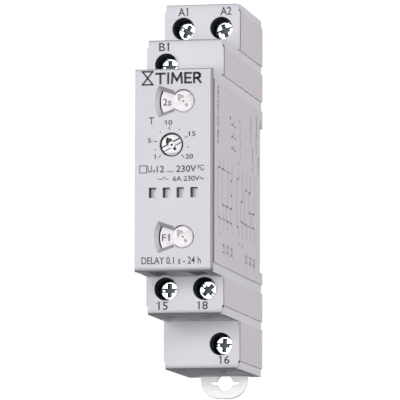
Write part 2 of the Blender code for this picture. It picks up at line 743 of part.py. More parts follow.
def make_yoke():
    """The core with its pole face, riveted to the L-shaped yoke."""
    centre = (COIL_X, COIL_Y)
    width = (COIL_X - YOKE_HALF, COIL_X + YOKE_HALF)
    core = rod(centre, CORE_RADIUS, YOKE_LOW + YOKE_THICK - 0.3, POLE_Z, "Z", 20)
    pole = rod(centre, POLE_RADIUS, POLE_Z - POLE_THICK, POLE_Z, "Z", 24)
    foot = block(width, YOKE_Y, (YOKE_LOW, YOKE_LOW + YOKE_THICK))
    leg = block(width, (YOKE_Y[1] - YOKE_THICK, YOKE_Y[1]), (YOKE_LOW, POLE_Z - POLE_THICK))
    add("relay_yoke", join(foot, leg, core, pole), iron())


def make_armature():
    """The hinged plate over the pole, with the contact blade that hangs from its tail."""
    y, z = ARMATURE_HINGE
    low = POLE_Z + AIR_GAP
    plate = block((COIL_X - ARMATURE_HALF, COIL_X + ARMATURE_HALF), ARMATURE_Y, (low, low + YOKE_THICK))
    add("relay_armature", plate, iron(), (COIL_X, y, z))
    blade = block((COIL_X - BLADE_HALF, COIL_X + BLADE_HALF), BLADE_Y, (BLADE_LOW, low - CLEARANCE))
    button = rod((COIL_X, CONTACT_Z), CONTACT_RADIUS, BLADE_Y[0] - 0.5, BLADE_Y[1] + 0.5, "Y", 16)
    add("moving_contact", join(blade, button), brass(), (COIL_X, y, z))


def make_fixed_contact(name, face, away):
    """A fixed contact: a blade with a button that faces the moving one."""
    near, far = sorted((face, face + away * 0.5))
    thickness = sorted((face + away * 0.4, face + away * 0.8))
    button = rod((COIL_X, CONTACT_Z), CONTACT_RADIUS, near, far, "Y", 16)
    height = (BLADE_LOW, CONTACT_Z + BLADE_HALF)
    blade = block((RELAY_BASE_TOP + 0.4, COIL_X + BLADE_HALF), thickness, height)
    add(name, join(blade, button), brass())


# ---- Terminals ----------------------------------------------------------------------------
def make_screw(name, x, z, front, turn):
    """A combination-head clamp screw; its tip bears on the contact bar."""
    top = front + HEAD_DEPTH
    head = rod((x, z), HEAD_RADIUS, top, top + HEAD_THICK, "Y", 28)
    bevel_edges(head, lambda edge: all(v.co.y < top + 0.01 for v in edge.verts), 0.25, 1)
    shank = rod((x, z), SHANK_RADIUS, top + HEAD_THICK - 0.3, front + BAR_DROP - CLEARANCE, "Y", 18)
    screw = join(head, shank)
    # A slot right across the head, and a cross a little deeper than it.
    for turned, reach, width, depth in ((turn, HEAD_RADIUS + OVERSHOOT, *DRIVE_SLOT),
                                        (turn, *DRIVE_CROSS), (turn + 90, *DRIVE_CROSS)):
        arm = block((x - reach, x + reach), (top - OVERSHOOT, top + depth), (z - width, z + width))
        screw = cut(screw, turned_about(arm, (x, 0, z), "Y", turned))
    add(name, screw, zinc(), (x, top, z), True)


def make_guide(name, x, z, front):
    """The dark screw guide: a block behind the front wall with a collar through its hole."""
    low = z - GUIDE_HALF
    high = z + GUIDE_HALF
    start = front + WALL + CLEARANCE
    guide = block((x - GUIDE_HALF, x + GUIDE_HALF), (start, front + GUIDE_DEPTH), (low, high))
    guide = join(guide, rod((x, z), GUIDE_COLLAR, front + HOLE_RIM + 0.15, start + 1.0, "Y", 36))
    through = (front - OVERSHOOT, front + GUIDE_DEPTH + OVERSHOOT)
    guide = cut(guide, rod((x, z), GUIDE_BORE, *through, "Y", 36))
    add(name, guide, dark_plastic(), smooth=True)


def make_cage(name, x, z, front):
    """A rising clamp cage: a box open towards the wire, with a hole for the screw."""
    top = front + CAGE_DROP
    bottom = top + CAGE_HEIGHT
    length = (z - CAGE_HALF_LENGTH, z + CAGE_HALF_LENGTH)
    cage = block((x - CAGE_HALF, x + CAGE_HALF), (top, bottom), length)
    inner = CAGE_HALF - CAGE_WALL
    through = (length[0] - OVERSHOOT, length[1] + OVERSHOOT)
    cage = cut(cage, block((x - inner, x + inner), (top + CAGE_FRONT, bottom - CAGE_REAR), through))
    hole = rod((x, z), SHANK_RADIUS + CLEARANCE, top - OVERSHOOT, top + 2 * CAGE_FRONT, "Y", 18)
    cage = cut(cage, hole)
    add(name, cage, zinc(), (x, top, z))


def make_bar(name, x, z, front):
    """A contact bar from the cage to the main board's edge."""
    y = (front + BAR_DROP, front + BAR_DROP + BAR_THICK)
    up = 1 if z > 0 else -1
    outer = abs(z) + BAR_PAST_CAGE
    inner = BAR_INNER_LEFT if x < 0 else BAR_INNER_RIGHT
    bar = block((x - BAR_HALF, x + BAR_HALF), y, sorted((up * inner, up * outer)))
    if x > 0:
        link_z = sorted((up * inner, up * (inner + BAR_LINK)))
        bar = join(bar, block((PARTS_X, x), y, link_z))
    add(name, bar, copper())


def make_terminals():
    for name, x, z, front, _, turn in terminal_places():
        make_screw("terminal_screw_" + name, x, z, front, turn)
        make_guide("screw_guide_" + name, x, z, front)
        make_cage("terminal_cage_" + name, x, z, front)
        make_bar("contact_bar_" + name, x, z, front)


# ---- Rail latch ---------------------------------------------------------------------------
def latch_outline():
    """The latch plate (x, z): a rounded tongue below, a square end above."""
    corners = []
    steps = 6
    for side, start in ((1, -90), (-1, 180)):
        centre_x = side * (LATCH_HALF - LATCH_RADIUS)
        centre_z = LATCH_BOTTOM + LATCH_RADIUS
        for index in range(steps + 1):
            angle = math.radians(start + 90 * index / steps)
            x = centre_x + LATCH_RADIUS * math.cos(angle)
            corners.append((x, centre_z + LATCH_RADIUS * math.sin(angle)))
    right, left = corners[:steps + 1], corners[steps + 1:]
    return right + [(LATCH_HALF, LATCH_TOP), (-LATCH_HALF, LATCH_TOP)] + left


def make_latch():
    """The sprung latch: a nose over the rail's edge, guide ribs, a spring pocket and a tool hole."""
    across = (-LATCH_HALF - OVERSHOOT, LATCH_HALF + OVERSHOOT)
    through = (LATCH_FRONT - OVERSHOOT, LATCH_BACK + OVERSHOOT)
    above = LATCH_TOP + OVERSHOOT
    latch = prism(latch_outline(), LATCH_FRONT, LATCH_BACK, "Y")
    latch = cut(latch, block(across, (through[0], HOOK_Y), (-RAIL_Z - CLEARANCE, above)))
    lead_in = [(HOOK_Y + 0.5, above), (through[1], above), (through[1], above - 2.5)]
    latch = cut(latch, prism(lead_in, *across, "X"))
    half, near, far, low, high = LATCH_RIBS
    latch = join(latch, block((-half, half), (near, far), (low, high)))
    latch = cut(latch, block((-POCKET_HALF, POCKET_HALF), through, (POCKET_LOW, SPRING_HIGH + CLEARANCE)))
    latch = cut(latch, rod((LATCH_HOLE_X, LATCH_HOLE_Z), LATCH_HOLE, *through, "Y", 28))
    notch_x = (LATCH_HOLE_X - NOTCH[0], LATCH_HOLE_X + NOTCH[0])
    latch = cut(latch, block(notch_x, through, (LATCH_HOLE_Z - NOTCH[1], LATCH_HOLE_Z + NOTCH[1])))
    add("rail_latch", latch, white_plastic(), (0, SPRING_Y, LATCH_TOP))


def make_latch_spring():
    """A compression spring between the housing's peg and the top of the latch's pocket."""
    curve = bpy.data.curves.new("latch_spring", "CURVE")
    curve.dimensions = "3D"
    curve.bevel_depth = SPRING_WIRE * MM
    curve.bevel_resolution = 1
    curve.use_fill_caps = True
    spline = curve.splines.new("POLY")
    steps = SPRING_TURNS * SPRING_STEPS
    spline.points.add(steps)
    low = SPRING_LOW + SPRING_WIRE
    high = SPRING_HIGH - SPRING_WIRE
    for index, point in enumerate(spline.points):
        angle = math.tau * index / SPRING_STEPS
        z = low + (high - low) * index / steps
        x = SPRING_RADIUS * math.cos(angle)
        y = SPRING_Y + SPRING_RADIUS * math.sin(angle)
        point.co = (x * MM, y * MM, z * MM, 1.0)
    made = bpy.data.objects.new("latch_spring", curve)
    curve.materials.append(zinc())
    bpy.context.scene.collection.objects.link(made)


def main():
    clear_scene()
    make_housing()
    make_side_cover()
    make_front_cover()
    make_selector("scale_dial", SCALE_DIAL)
    make_selector("function_dial", FUNCTION_DIAL)
    make_time_knob()
    make_switch("scale_switch", SCALE_DIAL, SWITCH_HALF, dark_plastic())
    make_switch("function_switch", FUNCTION_DIAL, SWITCH_HALF, dark_plastic())
    make_switch("time_potentiometer", TIME_KNOB, POTENTIOMETER_HALF, blue_plastic())
    make_indicators()
    make_boards()
    make_components()
    make_relay_case()
    make_coil()
    make_yoke()
    make_armature()
    make_fixed_contact("rest_contact", REST_CONTACT_Y, -1)
    make_fixed_contact("work_contact", WORK_CONTACT_Y, 1)
    make_terminals()
    make_latch()
    make_latch_spring()


main()
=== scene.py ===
"""Looks of a DIN rail timer: moulded case, printing, selectors, clamp screws and rail latch.

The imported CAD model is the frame. Lengths with MM are millimetres turned into metres.
"""
import json
import math

import bmesh
import bpy
from mathutils import Matrix, Vector


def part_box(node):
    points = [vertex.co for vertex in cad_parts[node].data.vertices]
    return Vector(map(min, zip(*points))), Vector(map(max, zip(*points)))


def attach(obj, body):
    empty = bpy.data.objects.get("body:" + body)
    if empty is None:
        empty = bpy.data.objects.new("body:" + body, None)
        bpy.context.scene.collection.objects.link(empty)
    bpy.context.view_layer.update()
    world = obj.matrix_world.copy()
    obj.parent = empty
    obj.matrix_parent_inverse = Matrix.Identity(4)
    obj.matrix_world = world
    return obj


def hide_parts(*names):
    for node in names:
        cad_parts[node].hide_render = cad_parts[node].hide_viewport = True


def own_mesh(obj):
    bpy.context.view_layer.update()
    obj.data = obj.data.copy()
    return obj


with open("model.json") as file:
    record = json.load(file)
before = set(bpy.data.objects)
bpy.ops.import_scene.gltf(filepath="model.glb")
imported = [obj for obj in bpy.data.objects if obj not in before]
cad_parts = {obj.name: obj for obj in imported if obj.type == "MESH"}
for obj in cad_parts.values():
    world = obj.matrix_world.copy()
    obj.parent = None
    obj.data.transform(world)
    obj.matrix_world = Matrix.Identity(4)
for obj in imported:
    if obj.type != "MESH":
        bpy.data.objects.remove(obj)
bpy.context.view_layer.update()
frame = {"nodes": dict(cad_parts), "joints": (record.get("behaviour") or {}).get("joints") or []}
MM = 0.001

JOINTS = {joint["name"]: joint for joint in frame["joints"]}
FACE_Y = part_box("front_cover")[0].y
SIDE_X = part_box("side_cover")[1].x
MID_Y = -44.2 * MM
END_Y = -25.2 * MM
NOSE_TOP = 22.5 * MM                 # half heights of the nose and of the two tiers
MID_TOP = 30.8 * MM
END_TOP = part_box("housing_body")[1].z
PANEL_X = SIDE_X - 0.15 * MM         # a side face point further out than this is on a raised panel
INK_LIFT = 0.015 * MM                # how far printing stands proud

# Camera: where it stands, where it points and its lens.
CAMERA_PLACE = Vector((188.23, -956.56, -108.52)) * MM
CAMERA_YAW = math.radians(11.451)
CAMERA_PITCH = math.radians(6.319)
CAMERA_ROLL = math.radians(0.13)
CAMERA_LENS = 378.37

# Painted shade on the case: its colours, then where they lie. Depths count from a face.
BEVEL_PAINTED_SHADE = (0.40, 0.39, 0.41)       # painted shade on the window bevels
SLOT_PAINTED_SHADE = (0.045, 0.045, 0.05)       # painted shade on the indicator slots' walls
EDGE_PAINTED_SHADE = (0.27, 0.265, 0.285)       # painted shade in narrow bands along the front edges
RELIEF_PAINTED_SHADE = (0.21, 0.205, 0.22)      # painted shade in the driver reliefs under the nose
BEVEL_DEPTH = (0.09 * MM, 1.05 * MM)
LAMP_DEPTH = (0.09 * MM, 6 * MM)       # the indicator slots' depth and height
LAMP_HEIGHT = (-6.8 * MM, -3.4 * MM)
RIM_WIDE = 7.5 * MM                    # bevels and slots lie this close to the nose's middle
RIM_TALL = 20 * MM
COVER_FADE = (1.25 * MM, 1.35 * MM)    # depths over which the cover's side band ends
SIDE_FADE = (0.5 * MM, 0.4 * MM)       # distances from the side over which it starts
EDGE_FADE = (0.8 * MM, 1.1 * MM)       # depths over which an upper or lower edge's band ends
EDGE_TALL = (0.3 * MM, 0.1 * MM)       # that band's reach inside and outside the edge
RELIEF_DEPTH = 1.6 * MM
RELIEF_HEIGHT = (-22.36 * MM, -21.2 * MM)
RELIEF_WIDE = 8.1 * MM
FINE_BLUR = 0.03 * MM                  # softness of the places' limits
WIDE_BLUR = 0.1 * MM
EDGE_BLUR = 0.12 * MM

# Surfaces.
GRAIN = 5000.0               # spark-eroded grain: its fineness and its height
GRAIN_HEIGHT = 0.012 * MM
CLOUDS = 90.0                # fineness of the plastics' faint clouds
SOFTEN_ANGLE = math.radians(32)
SOFTEN_SEGMENTS = 2

# Rotors: a slot between fine grooves and an arrow, round a hub, with a flat at the foot.
DIAL_STEP = 60               # degrees between two positions of a dial
SLOT_TURN = -27              # how far the rotors' slot and arrow stand turned, in degrees
ARROW_TURN = -128
KNOB_RADIUS = 2.3 * MM
DIAL_RADIUS = 2.36 * MM
ROTOR_EDGE = 0.12 * MM       # rounding of the rotors' front edge
KNOB_FLANGE = 3.25 * MM
DISC_RADIUS = 5.33 * MM
SHAFT_RADIUS = 0.98 * MM
KNOB_CUTS = (0.6 * MM, 0.95 * MM, 0.4 * MM)      # depths of the grooves, the arrow and the flat
DIAL_CUTS = (0.1 * MM, 0.4 * MM, 0.12 * MM)
ACROSS = 3 * MM              # half length of a cut that goes right across
PROUD = 1 * MM               # how far a cutting tool stands out of the face
ROTOR_SLOT = (0.42 * MM, 0.2 * MM)               # half width and depth
ROTOR_GROOVE = (0.4 * MM, 0.62 * MM)             # its two edges, from the slot's middle
HUB_RADIUS = 0.76 * MM
FLAT_HALF = 1.3 * MM
FLAT_INSET = 0.5 * MM
PIN = (0.26 * MM, 0.5 * MM)                      # radius and depth of the hole in the hub

# Clamp screws: a slot between borders with painted shade, and a cross with one short and one long arm.
SCREW_RADIUS = 2.14 * MM
SCREW_HEAD = 1.58 * MM
SCREW_EDGE = 0.3 * MM
SCREW_SLOT = (0.5 * MM, 0.4 * MM)                # half width and depth
BORDER = (0.3 * MM, 0.5 * MM)                    # a border's two edges, from the slot's middle
BORDER_DEPTH = 0.7 * MM
ARM_REACH = (1.15 * MM, 1.6 * MM)
ARM_HALF = (0.52 * MM, 0.46 * MM)                # an arm's half width at the face and at its foot
ARM_TAPER = 0.15 * MM
ARM_DEPTH = 0.9 * MM
SHANK_RADIUS = 1.29 * MM
THREAD_PITCH = 0.5 * MM
THREAD_RIDGE = 0.14 * MM

# Latch spring.
SPRING_WIRE = 0.2 * MM       # radius of its wire
SPRING_TURNS = 8

# Stage, in metres.
WORLD_LEVEL = 0.5            # world's strength towards the horizon, and straight up and down
WORLD_DIM = 0.05
WORLD_FADE = (0.1, 0.7)      # how steep a direction is where the strength starts and ends falling
FLOOR_Z = -2.5
FLOOR_HALF = 3.0
FLOOR_THICK = 0.02


# ---- Solids -------------------------------------------------------------------------------
def place(across, along, axis):
    """A 2D outline point and a distance along the axis, as a 3D point."""
    u, v = across
    if axis == "X":
        return Vector((along, u, v))
    if axis == "Y":
        return Vector((u, along, v))
    return Vector((u, v, along))


def stack(rings, axis):
    """A closed solid through several outlines, each given with its distance along the axis."""
    bm = bmesh.new()
    loops = []
    for outline, along in rings:
        loops.append([bm.verts.new(place(point, along, axis)) for point in outline])
    bm.faces.new(loops[0])
    bm.faces.new(loops[-1])
    for low, high in zip(loops, loops[1:]):
        for index in range(len(low)):
            after = (index + 1) % len(low)
            bm.faces.new((low[index], low[after], high[after], high[index]))
    bmesh.ops.recalc_face_normals(bm, faces=bm.faces)
    return bm


def prism(outline, start, end, axis="Y"):
    """An outline pushed along an axis."""
    return stack([(outline, start), (outline, end)], axis)


def box_outline(low, high):
    return [(low[0], low[1]), (high[0], low[1]), (high[0], high[1]), (low[0], high[1])]


def circle(radius, sides=64):
    """Points round a circle about the origin."""
    step = math.tau / sides
    return [(radius * math.cos(step * i), radius * math.sin(step * i)) for i in range(sides)]


def turn_solid(bm, degrees):
    """Turn a solid about the Y axis through the origin."""
    matrix = Matrix.Rotation(math.radians(degrees), 3, "Y")
    bmesh.ops.rotate(bm, verts=bm.verts, cent=(0, 0, 0), matrix=matrix)
    return bm


def combine(base, tool, operation):
    """Join, cut or intersect two solids; the result replaces the base."""
    objects = []
    for label, bm in (("base", base), ("tool", tool)):
        mesh = bpy.data.meshes.new(label)
        bm.to_mesh(mesh)
        bm.free()
        made = bpy.data.objects.new(label, mesh)
        bpy.context.scene.collection.objects.link(made)
        objects.append(made)
    boolean = objects[0].modifiers.new("boolean", "BOOLEAN")
    boolean.operation = operation
    boolean.object = objects[1]
    result = bmesh.new()
    result.from_object(objects[0], bpy.context.evaluated_depsgraph_get())
    for made in objects:
        bpy.data.objects.remove(made)
    return result


def cut(base, *tools):
    for tool in tools:
        base = combine(base, tool, "DIFFERENCE")
    return base


def join(base, *tools):
    for tool in tools:
        base = combine(base, tool, "UNION")
    return base


def soften(piece, width):
    """Round a piece's sharp edges, and shade it smooth between them."""
    weld = piece.modifiers.new("weld", "WELD")
    weld.merge_threshold = 0.002 * MM
    flat = piece.modifiers.new("flat", "DECIMATE")
    flat.decimate_type = "DISSOLVE"
    flat.angle_limit = math.radians(0.5)
    flat.delimit = {"MATERIAL"}
    bevel = piece.modifiers.new("bevel", "BEVEL")
    bevel.width = width
    bevel.segments = SOFTEN_SEGMENTS
    bevel.limit_method = "ANGLE"
    bevel.angle_limit = SOFTEN_ANGLE
    weighted = piece.modifiers.new("weighted", "WEIGHTED_NORMAL")
    weighted.keep_sharp = True
    for polygon in piece.data.polygons:
        polygon.use_smooth = True
    return piece


def piece_from(name, bm, materials, body, at=(0, 0, 0), replaced=None):
    """A solid as a named piece that rides on a body."""
    bmesh.ops.remove_doubles(bm, verts=bm.verts, dist=0.0005 * MM)
    bmesh.ops.translate(bm, verts=bm.verts, vec=Vector(at))
    mesh = bpy.data.meshes.new(name)
    bm.to_mesh(mesh)
    bm.free()
    made = bpy.data.objects.new(name, mesh)
    for material in materials:
        mesh.materials.append(material)
    bpy.context.scene.collection.objects.link(made)
    if replaced:
        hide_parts(replaced)
    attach(made, body)
    return made


# ---- Materials ----------------------------------------------------------------------------
class Shader:
    """A material under construction: its nodes, its links and its Principled shader."""

    def __init__(self, name, colour, roughness, metallic=0.0):
        self.material = bpy.data.materials.new(name)
        self.material.use_nodes = True
        self.nodes = self.material.node_tree.nodes
        self.links = self.material.node_tree.links
        self.shader = self.nodes["Principled BSDF"]
        self.shader.inputs["Base Color"].default_value = (*colour, 1.0)
        self.shader.inputs["Roughness"].default_value = roughness
        self.shader.inputs["Metallic"].default_value = metallic
        self.place = self.nodes.new("ShaderNodeTexCoord").outputs["Object"]

    def noise(self, scale, detail=2.0, stretch=(1, 1, 1)):
        """Noise with a grain of 1/scale metres, stretched along an axis where wanted."""
        source = self.place
        if stretch != (1, 1, 1):
            mapping = self.nodes.new("ShaderNodeMapping")
            mapping.inputs["Scale"].default_value = stretch
            self.links.new(source, mapping.inputs["Vector"])
            source = mapping.outputs["Vector"]
        texture = self.nodes.new("ShaderNodeTexNoise")
        texture.inputs["Scale"].default_value = scale
        texture.inputs["Detail"].default_value = detail
        self.links.new(source, texture.inputs["Vector"])
        return texture.outputs["Fac"]

    def remap(self, value, low, high, start=0.3, end=0.7):
        """A value between start and end, stretched to run from low to high."""
        ranged = self.nodes.new("ShaderNodeMapRange")
        ranged.inputs["From Min"].default_value = start
        ranged.inputs["From Max"].default_value = end
        ranged.inputs["To Min"].default_value = low
        ranged.inputs["To Max"].default_value = high
        self.links.new(value, ranged.inputs["Value"])
        return ranged.outputs["Result"]

    def mix(self, factor, first, second):
        """A colour between two, by a factor; each is a colour or another node's output."""
        mixer = self.nodes.new("ShaderNodeMix")
        mixer.data_type = "RGBA"
        self.links.new(factor, mixer.inputs["Factor"])
        for socket, colour in (("A", first), ("B", second)):
            target = next(i for i in mixer.inputs if i.name == socket and i.type == "RGBA")
            if isinstance(colour, tuple):
                target.default_value = (*colour, 1.0)
            else:
                self.links.new(colour, target)
        return next(o for o in mixer.outputs if o.type == "RGBA")

    def times(self, first, second):
        """The product of two values."""
        product = self.nodes.new("ShaderNodeMath")
        product.operation = "MULTIPLY"
        self.links.new(first, product.inputs[0])
        self.links.new(second, product.inputs[1])
        return product.outputs["Value"]

    def between(self, value, low, high, blur):
        """1 where a value lies between two limits and 0 elsewhere, with soft edges."""
        above = self.remap(value, 0.0, 1.0, low - blur, low + blur)
        below = self.remap(value, 1.0, 0.0, high - blur, high + blur)
        return self.times(above, below)

    def size_of(self, value):
        """A value without its sign."""
        plain = self.nodes.new("ShaderNodeMath")
        plain.operation = "ABSOLUTE"
        self.links.new(value, plain.inputs[0])
        return plain.outputs["Value"]

    def set_colour(self, colour):
        self.links.new(colour, self.shader.inputs["Base Color"])

    def set_roughness(self, value):
        self.links.new(value, self.shader.inputs["Roughness"])

    def bump(self, height, strength, distance):
        bump = self.nodes.new("ShaderNodeBump")
        bump.inputs["Strength"].default_value = strength
        bump.inputs["Distance"].default_value = distance
        self.links.new(height, bump.inputs["Height"])
        self.links.new(bump.outputs["Normal"], self.shader.inputs["Normal"])

    def axis(self, name):
        """One coordinate of the object, in metres."""
        split = self.nodes.new("ShaderNodeSeparateXYZ")
        self.links.new(self.place, split.inputs["Vector"])
        return split.outputs[name]


def shade(colour, factor):
    return tuple(min(1.0, channel * factor) for channel in colour)


def moulded(name, colour, roughness):
    """Moulded plastic: fine spark-eroded grain, faint cloudy colour and uneven gloss."""
    made = Shader(name, colour, roughness)
    clouds = made.noise(CLOUDS)
    made.set_colour(made.mix(made.remap(clouds, 0.0, 1.0), shade(colour, 0.975), shade(colour, 1.02)))
    fine = made.noise(GRAIN, 3.0)
    made.set_roughness(made.remap(fine, roughness - 0.06, roughness + 0.08))
    made.bump(fine, 0.5, GRAIN_HEIGHT)
    return made.material


def recess_painted_shade(made, across, depth, height):
    """Painted shade in the nose's window bevels and indicator slots, each with its colour."""
    within_rim = made.times(made.between(across, -RIM_WIDE, RIM_WIDE, WIDE_BLUR),
                            made.between(height, -RIM_TALL, RIM_TALL, WIDE_BLUR))
    bevels = made.between(depth, FACE_Y + BEVEL_DEPTH[0], FACE_Y + BEVEL_DEPTH[1], FINE_BLUR)
    slots = made.times(made.between(depth, FACE_Y + LAMP_DEPTH[0], FACE_Y + LAMP_DEPTH[1], FINE_BLUR),
                       made.between(height, *LAMP_HEIGHT, WIDE_BLUR))
    return [(made.times(bevels, within_rim), BEVEL_PAINTED_SHADE), (made.times(slots, within_rim), SLOT_PAINTED_SHADE)]


def edge_painted_shade(made, across, depth, height):
    """Painted shade in bands down the cover's right side and along each face's upper and lower edge."""
    on_cover = made.remap(depth, 1.0, 0.0, FACE_Y + COVER_FADE[0], FACE_Y + COVER_FADE[1])
    at_side = made.remap(across, 0.0, 1.0, SIDE_X - SIDE_FADE[0], SIDE_X - SIDE_FADE[1])
    painted_shade_places = [(made.times(on_cover, at_side), EDGE_PAINTED_SHADE)]
    for face, edge in ((FACE_Y, NOSE_TOP), (MID_Y, MID_TOP), (END_Y, END_TOP)):
        near_face = made.remap(depth, 1.0, 0.0, face + EDGE_FADE[0], face + EDGE_FADE[1])
        at_edge = made.between(made.size_of(height), edge - EDGE_TALL[0], edge + EDGE_TALL[1], EDGE_BLUR)
        painted_shade_places.append((made.times(near_face, at_edge), EDGE_PAINTED_SHADE))
    return painted_shade_places


def relief_painted_shade(made, across, depth, height):
    """Painted shade in the driver reliefs under the nose, short of its two sides."""
    in_relief = made.times(made.between(depth, FACE_Y + RELIEF_DEPTH, MID_Y - WIDE_BLUR, WIDE_BLUR),
                           made.between(height, *RELIEF_HEIGHT, 0.02 * MM))
    between_sides = made.between(across, -RELIEF_WIDE, RELIEF_WIDE, 0.05 * MM)
    return (made.times(in_relief, between_sides), RELIEF_PAINTED_SHADE)


def case_plastic_with_painted_shade():
    """Light grey moulding: duller, warmer side panels, and painted shade on its window walls, slots,
    reliefs and edges.
    """
    base = (0.62, 0.61, 0.65)
    panel = (0.60, 0.565, 0.595)
    made = Shader("case_plastic_with_painted_shade", base, 0.5)
    clouds = made.noise(CLOUDS)
    plain = made.mix(made.remap(clouds, 0.0, 1.0), shade(base, 0.98), shade(base, 1.02))
    mottle = made.noise(700.0, 4.0)
    label = made.mix(made.remap(mottle, 0.0, 1.0), shade(panel, 0.96), shade(panel, 1.04))
    coordinates = [made.axis(name) for name in "XYZ"]
    on_panel = made.remap(coordinates[0], 0.0, 1.0, PANEL_X - FINE_BLUR, PANEL_X + FINE_BLUR)
    colour = made.mix(on_panel, plain, label)
    painted_shade_places = recess_painted_shade(made, *coordinates) + edge_painted_shade(made, *coordinates)
    # each place lays its painted shade colour over the plastic's colour
    for painted_shade_mask, shade_paint in painted_shade_places + [relief_painted_shade(made, *coordinates)]:
        colour = made.mix(painted_shade_mask, colour, shade_paint)
    made.set_colour(colour)
    fine = made.noise(GRAIN, 3.0)
    made.set_roughness(made.remap(fine, 0.42, 0.58))
    made.bump(fine, 0.5, GRAIN_HEIGHT)
    return made.material


def ink():
    """Grey-brown printing, worn a little thin in places."""
    made = Shader("ink", (0.04, 0.036, 0.04), 0.55)
    patches = made.noise(2500.0, 3.0)
    made.set_colour(made.mix(made.remap(patches, 0.0, 1.0), (0.022, 0.019, 0.022), (0.045, 0.04, 0.045)))
    return made.material


def faint_ink():
    """The paler marking on the side panels."""
    made = Shader("faint_ink", (0.14, 0.12, 0.14), 0.6)
    patches = made.noise(2500.0, 3.0)
    made.set_colour(made.mix(made.remap(patches, 0.0, 1.0), (0.07, 0.06, 0.07), (0.16, 0.14, 0.15)))
    return made.material


def plated(name, colour, roughness, brush=(1, 1, 1)):
    """Plated or bare metal: fine turning or drawing marks in its gloss and surface."""
    made = Shader(name, colour, roughness, 1.0)
    marks = made.noise(3000.0, 4.0, brush)
    made.set_roughness(made.remap(marks, roughness - 0.08, roughness + 0.12))
    tint = made.noise(400.0)
    made.set_colour(made.mix(made.remap(tint, 0.0, 1.0), shade(colour, 0.92), shade(colour, 1.04)))
    made.bump(marks, 0.3, 0.01 * MM)
    return made.material


def translucent(name, colour, roughness, depth, painted_glow=0.0):
    """Milky plastic that light soaks into, with an even glow of painted light from its face, though no
    lamp lights it.
    """
    made = Shader(name, colour, roughness)
    made.shader.inputs["Subsurface Weight"].default_value = 0.6
    made.shader.inputs["Subsurface Radius"].default_value = (1.0, 0.9, 0.95)
    made.shader.inputs["Subsurface Scale"].default_value = depth * MM
    made.shader.inputs["Emission Color"].default_value = (*colour, 1.0)
    made.shader.inputs["Emission Strength"].default_value = painted_glow
    fine = made.noise(3500.0, 3.0)
    clouds = made.noise(120.0)
    made.set_colour(made.mix(made.remap(clouds, 0.0, 1.0), shade(colour, 0.97), shade(colour, 1.02)))
    made.set_roughness(made.remap(fine, roughness - 0.05, roughness + 0.08))
    made.bump(fine, 0.4, 0.01 * MM)
    return made.material


def circuit_board():
    """Green solder mask over a faint glass weave."""
    made = Shader("circuit_board", (0.02, 0.16, 0.07), 0.35)
    weave = made.nodes.new("ShaderNodeTexWave")
    weave.inputs["Scale"].default_value = 900.0
    weave.inputs["Distortion"].default_value = 1.5
    made.links.new(made.place, weave.inputs["Vector"])
    made.set_colour(made.mix(weave.outputs["Fac"], (0.018, 0.14, 0.06), (0.03, 0.2, 0.09)))
    made.bump(weave.outputs["Fac"], 0.2, 0.01 * MM)
    return made.material


def winding():
    """Enamelled copper wire, wound in close turns."""
    made = Shader("winding", (0.6, 0.25, 0.1), 0.3, 1.0)
    turns = made.nodes.new("ShaderNodeTexWave")
    turns.bands_direction = "Z"
    turns.inputs["Scale"].default_value = 1500.0
    turns.inputs["Distortion"].default_value = 0.4
    made.links.new(made.place, turns.inputs["Vector"])
    made.set_colour(made.mix(turns.outputs["Fac"], (0.35, 0.12, 0.05), (0.75, 0.34, 0.15)))
    made.bump(turns.outputs["Fac"], 0.6, 0.05 * MM)
    return made.material


CASE = case_plastic_with_painted_shade()
INK = ink()
FAINT_INK = faint_ink()
DIAL_WHITE = translucent("dial_white", (0.86, 0.82, 0.85), 0.38, 0.5)
# near-black painted shade for the time knob's cut walls and deep floors
KNOB_PAINTED_SHADE = moulded("knob_cut_painted_shade", (0.03, 0.03, 0.035), 0.45)
# painted shade for the selectors' cut walls and deep floors
DIAL_PAINTED_SHADE = moulded("dial_cut_painted_shade", (0.56, 0.49, 0.48), 0.5)
# the latch glows a little: painted light that makes it paler
LATCH_WHITE_PAINTED_GLOW = translucent("latch_white", (0.93, 0.90, 0.92), 0.35, 1.5, 0.06)
# the unlit light guide glows: painted light that brightens the indicator slots' floors
LIGHT_PIPE_PAINTED_GLOW = translucent("light_pipe", (0.86, 0.86, 0.87), 0.3, 0.8, 0.24)
DARK = moulded("dark_moulding", (0.022, 0.026, 0.03), 0.4)
GUIDE_BLACK = moulded("guide_black", (0.010, 0.016, 0.018), 0.7)
BLUE = moulded("blue_coating", (0.05, 0.12, 0.4), 0.4)
RESISTOR = moulded("resistor_lacquer", (0.12, 0.3, 0.22), 0.35)
RELAY_CASE = translucent("relay_case", (0.7, 0.74, 0.8), 0.15, 1.0)
# painted shade for the dark sheets standing in the gaps
GAP_PAINTED_SHADE = moulded("gap_painted_shade", (0.05, 0.045, 0.05), 0.6)
ZINC = plated("bright_zinc", (0.72, 0.79, 0.81), 0.24)
# dark teal painted shade for the screws' cross and slot borders
SCREW_PAINTED_SHADE = moulded("screw_cut_painted_shade", (0.085, 0.12, 0.13), 0.5)
STEEL = plated("cage_steel", (0.62, 0.63, 0.65), 0.35)
COPPER = plated("tinned_copper", (0.72, 0.55, 0.44), 0.32, (1, 1, 0.1))
BRASS = plated("contact_brass", (0.78, 0.6, 0.3), 0.25)
IRON = plated("soft_iron", (0.4, 0.4, 0.42), 0.4)
SOLDER_MASK = circuit_board()
WINDING = winding()
GREEN_LENS = translucent("green_lens", (0.1, 0.6, 0.2), 0.2, 0.4)
RED_LENS = translucent("red_lens", (0.7, 0.08, 0.06), 0.2, 0.4)


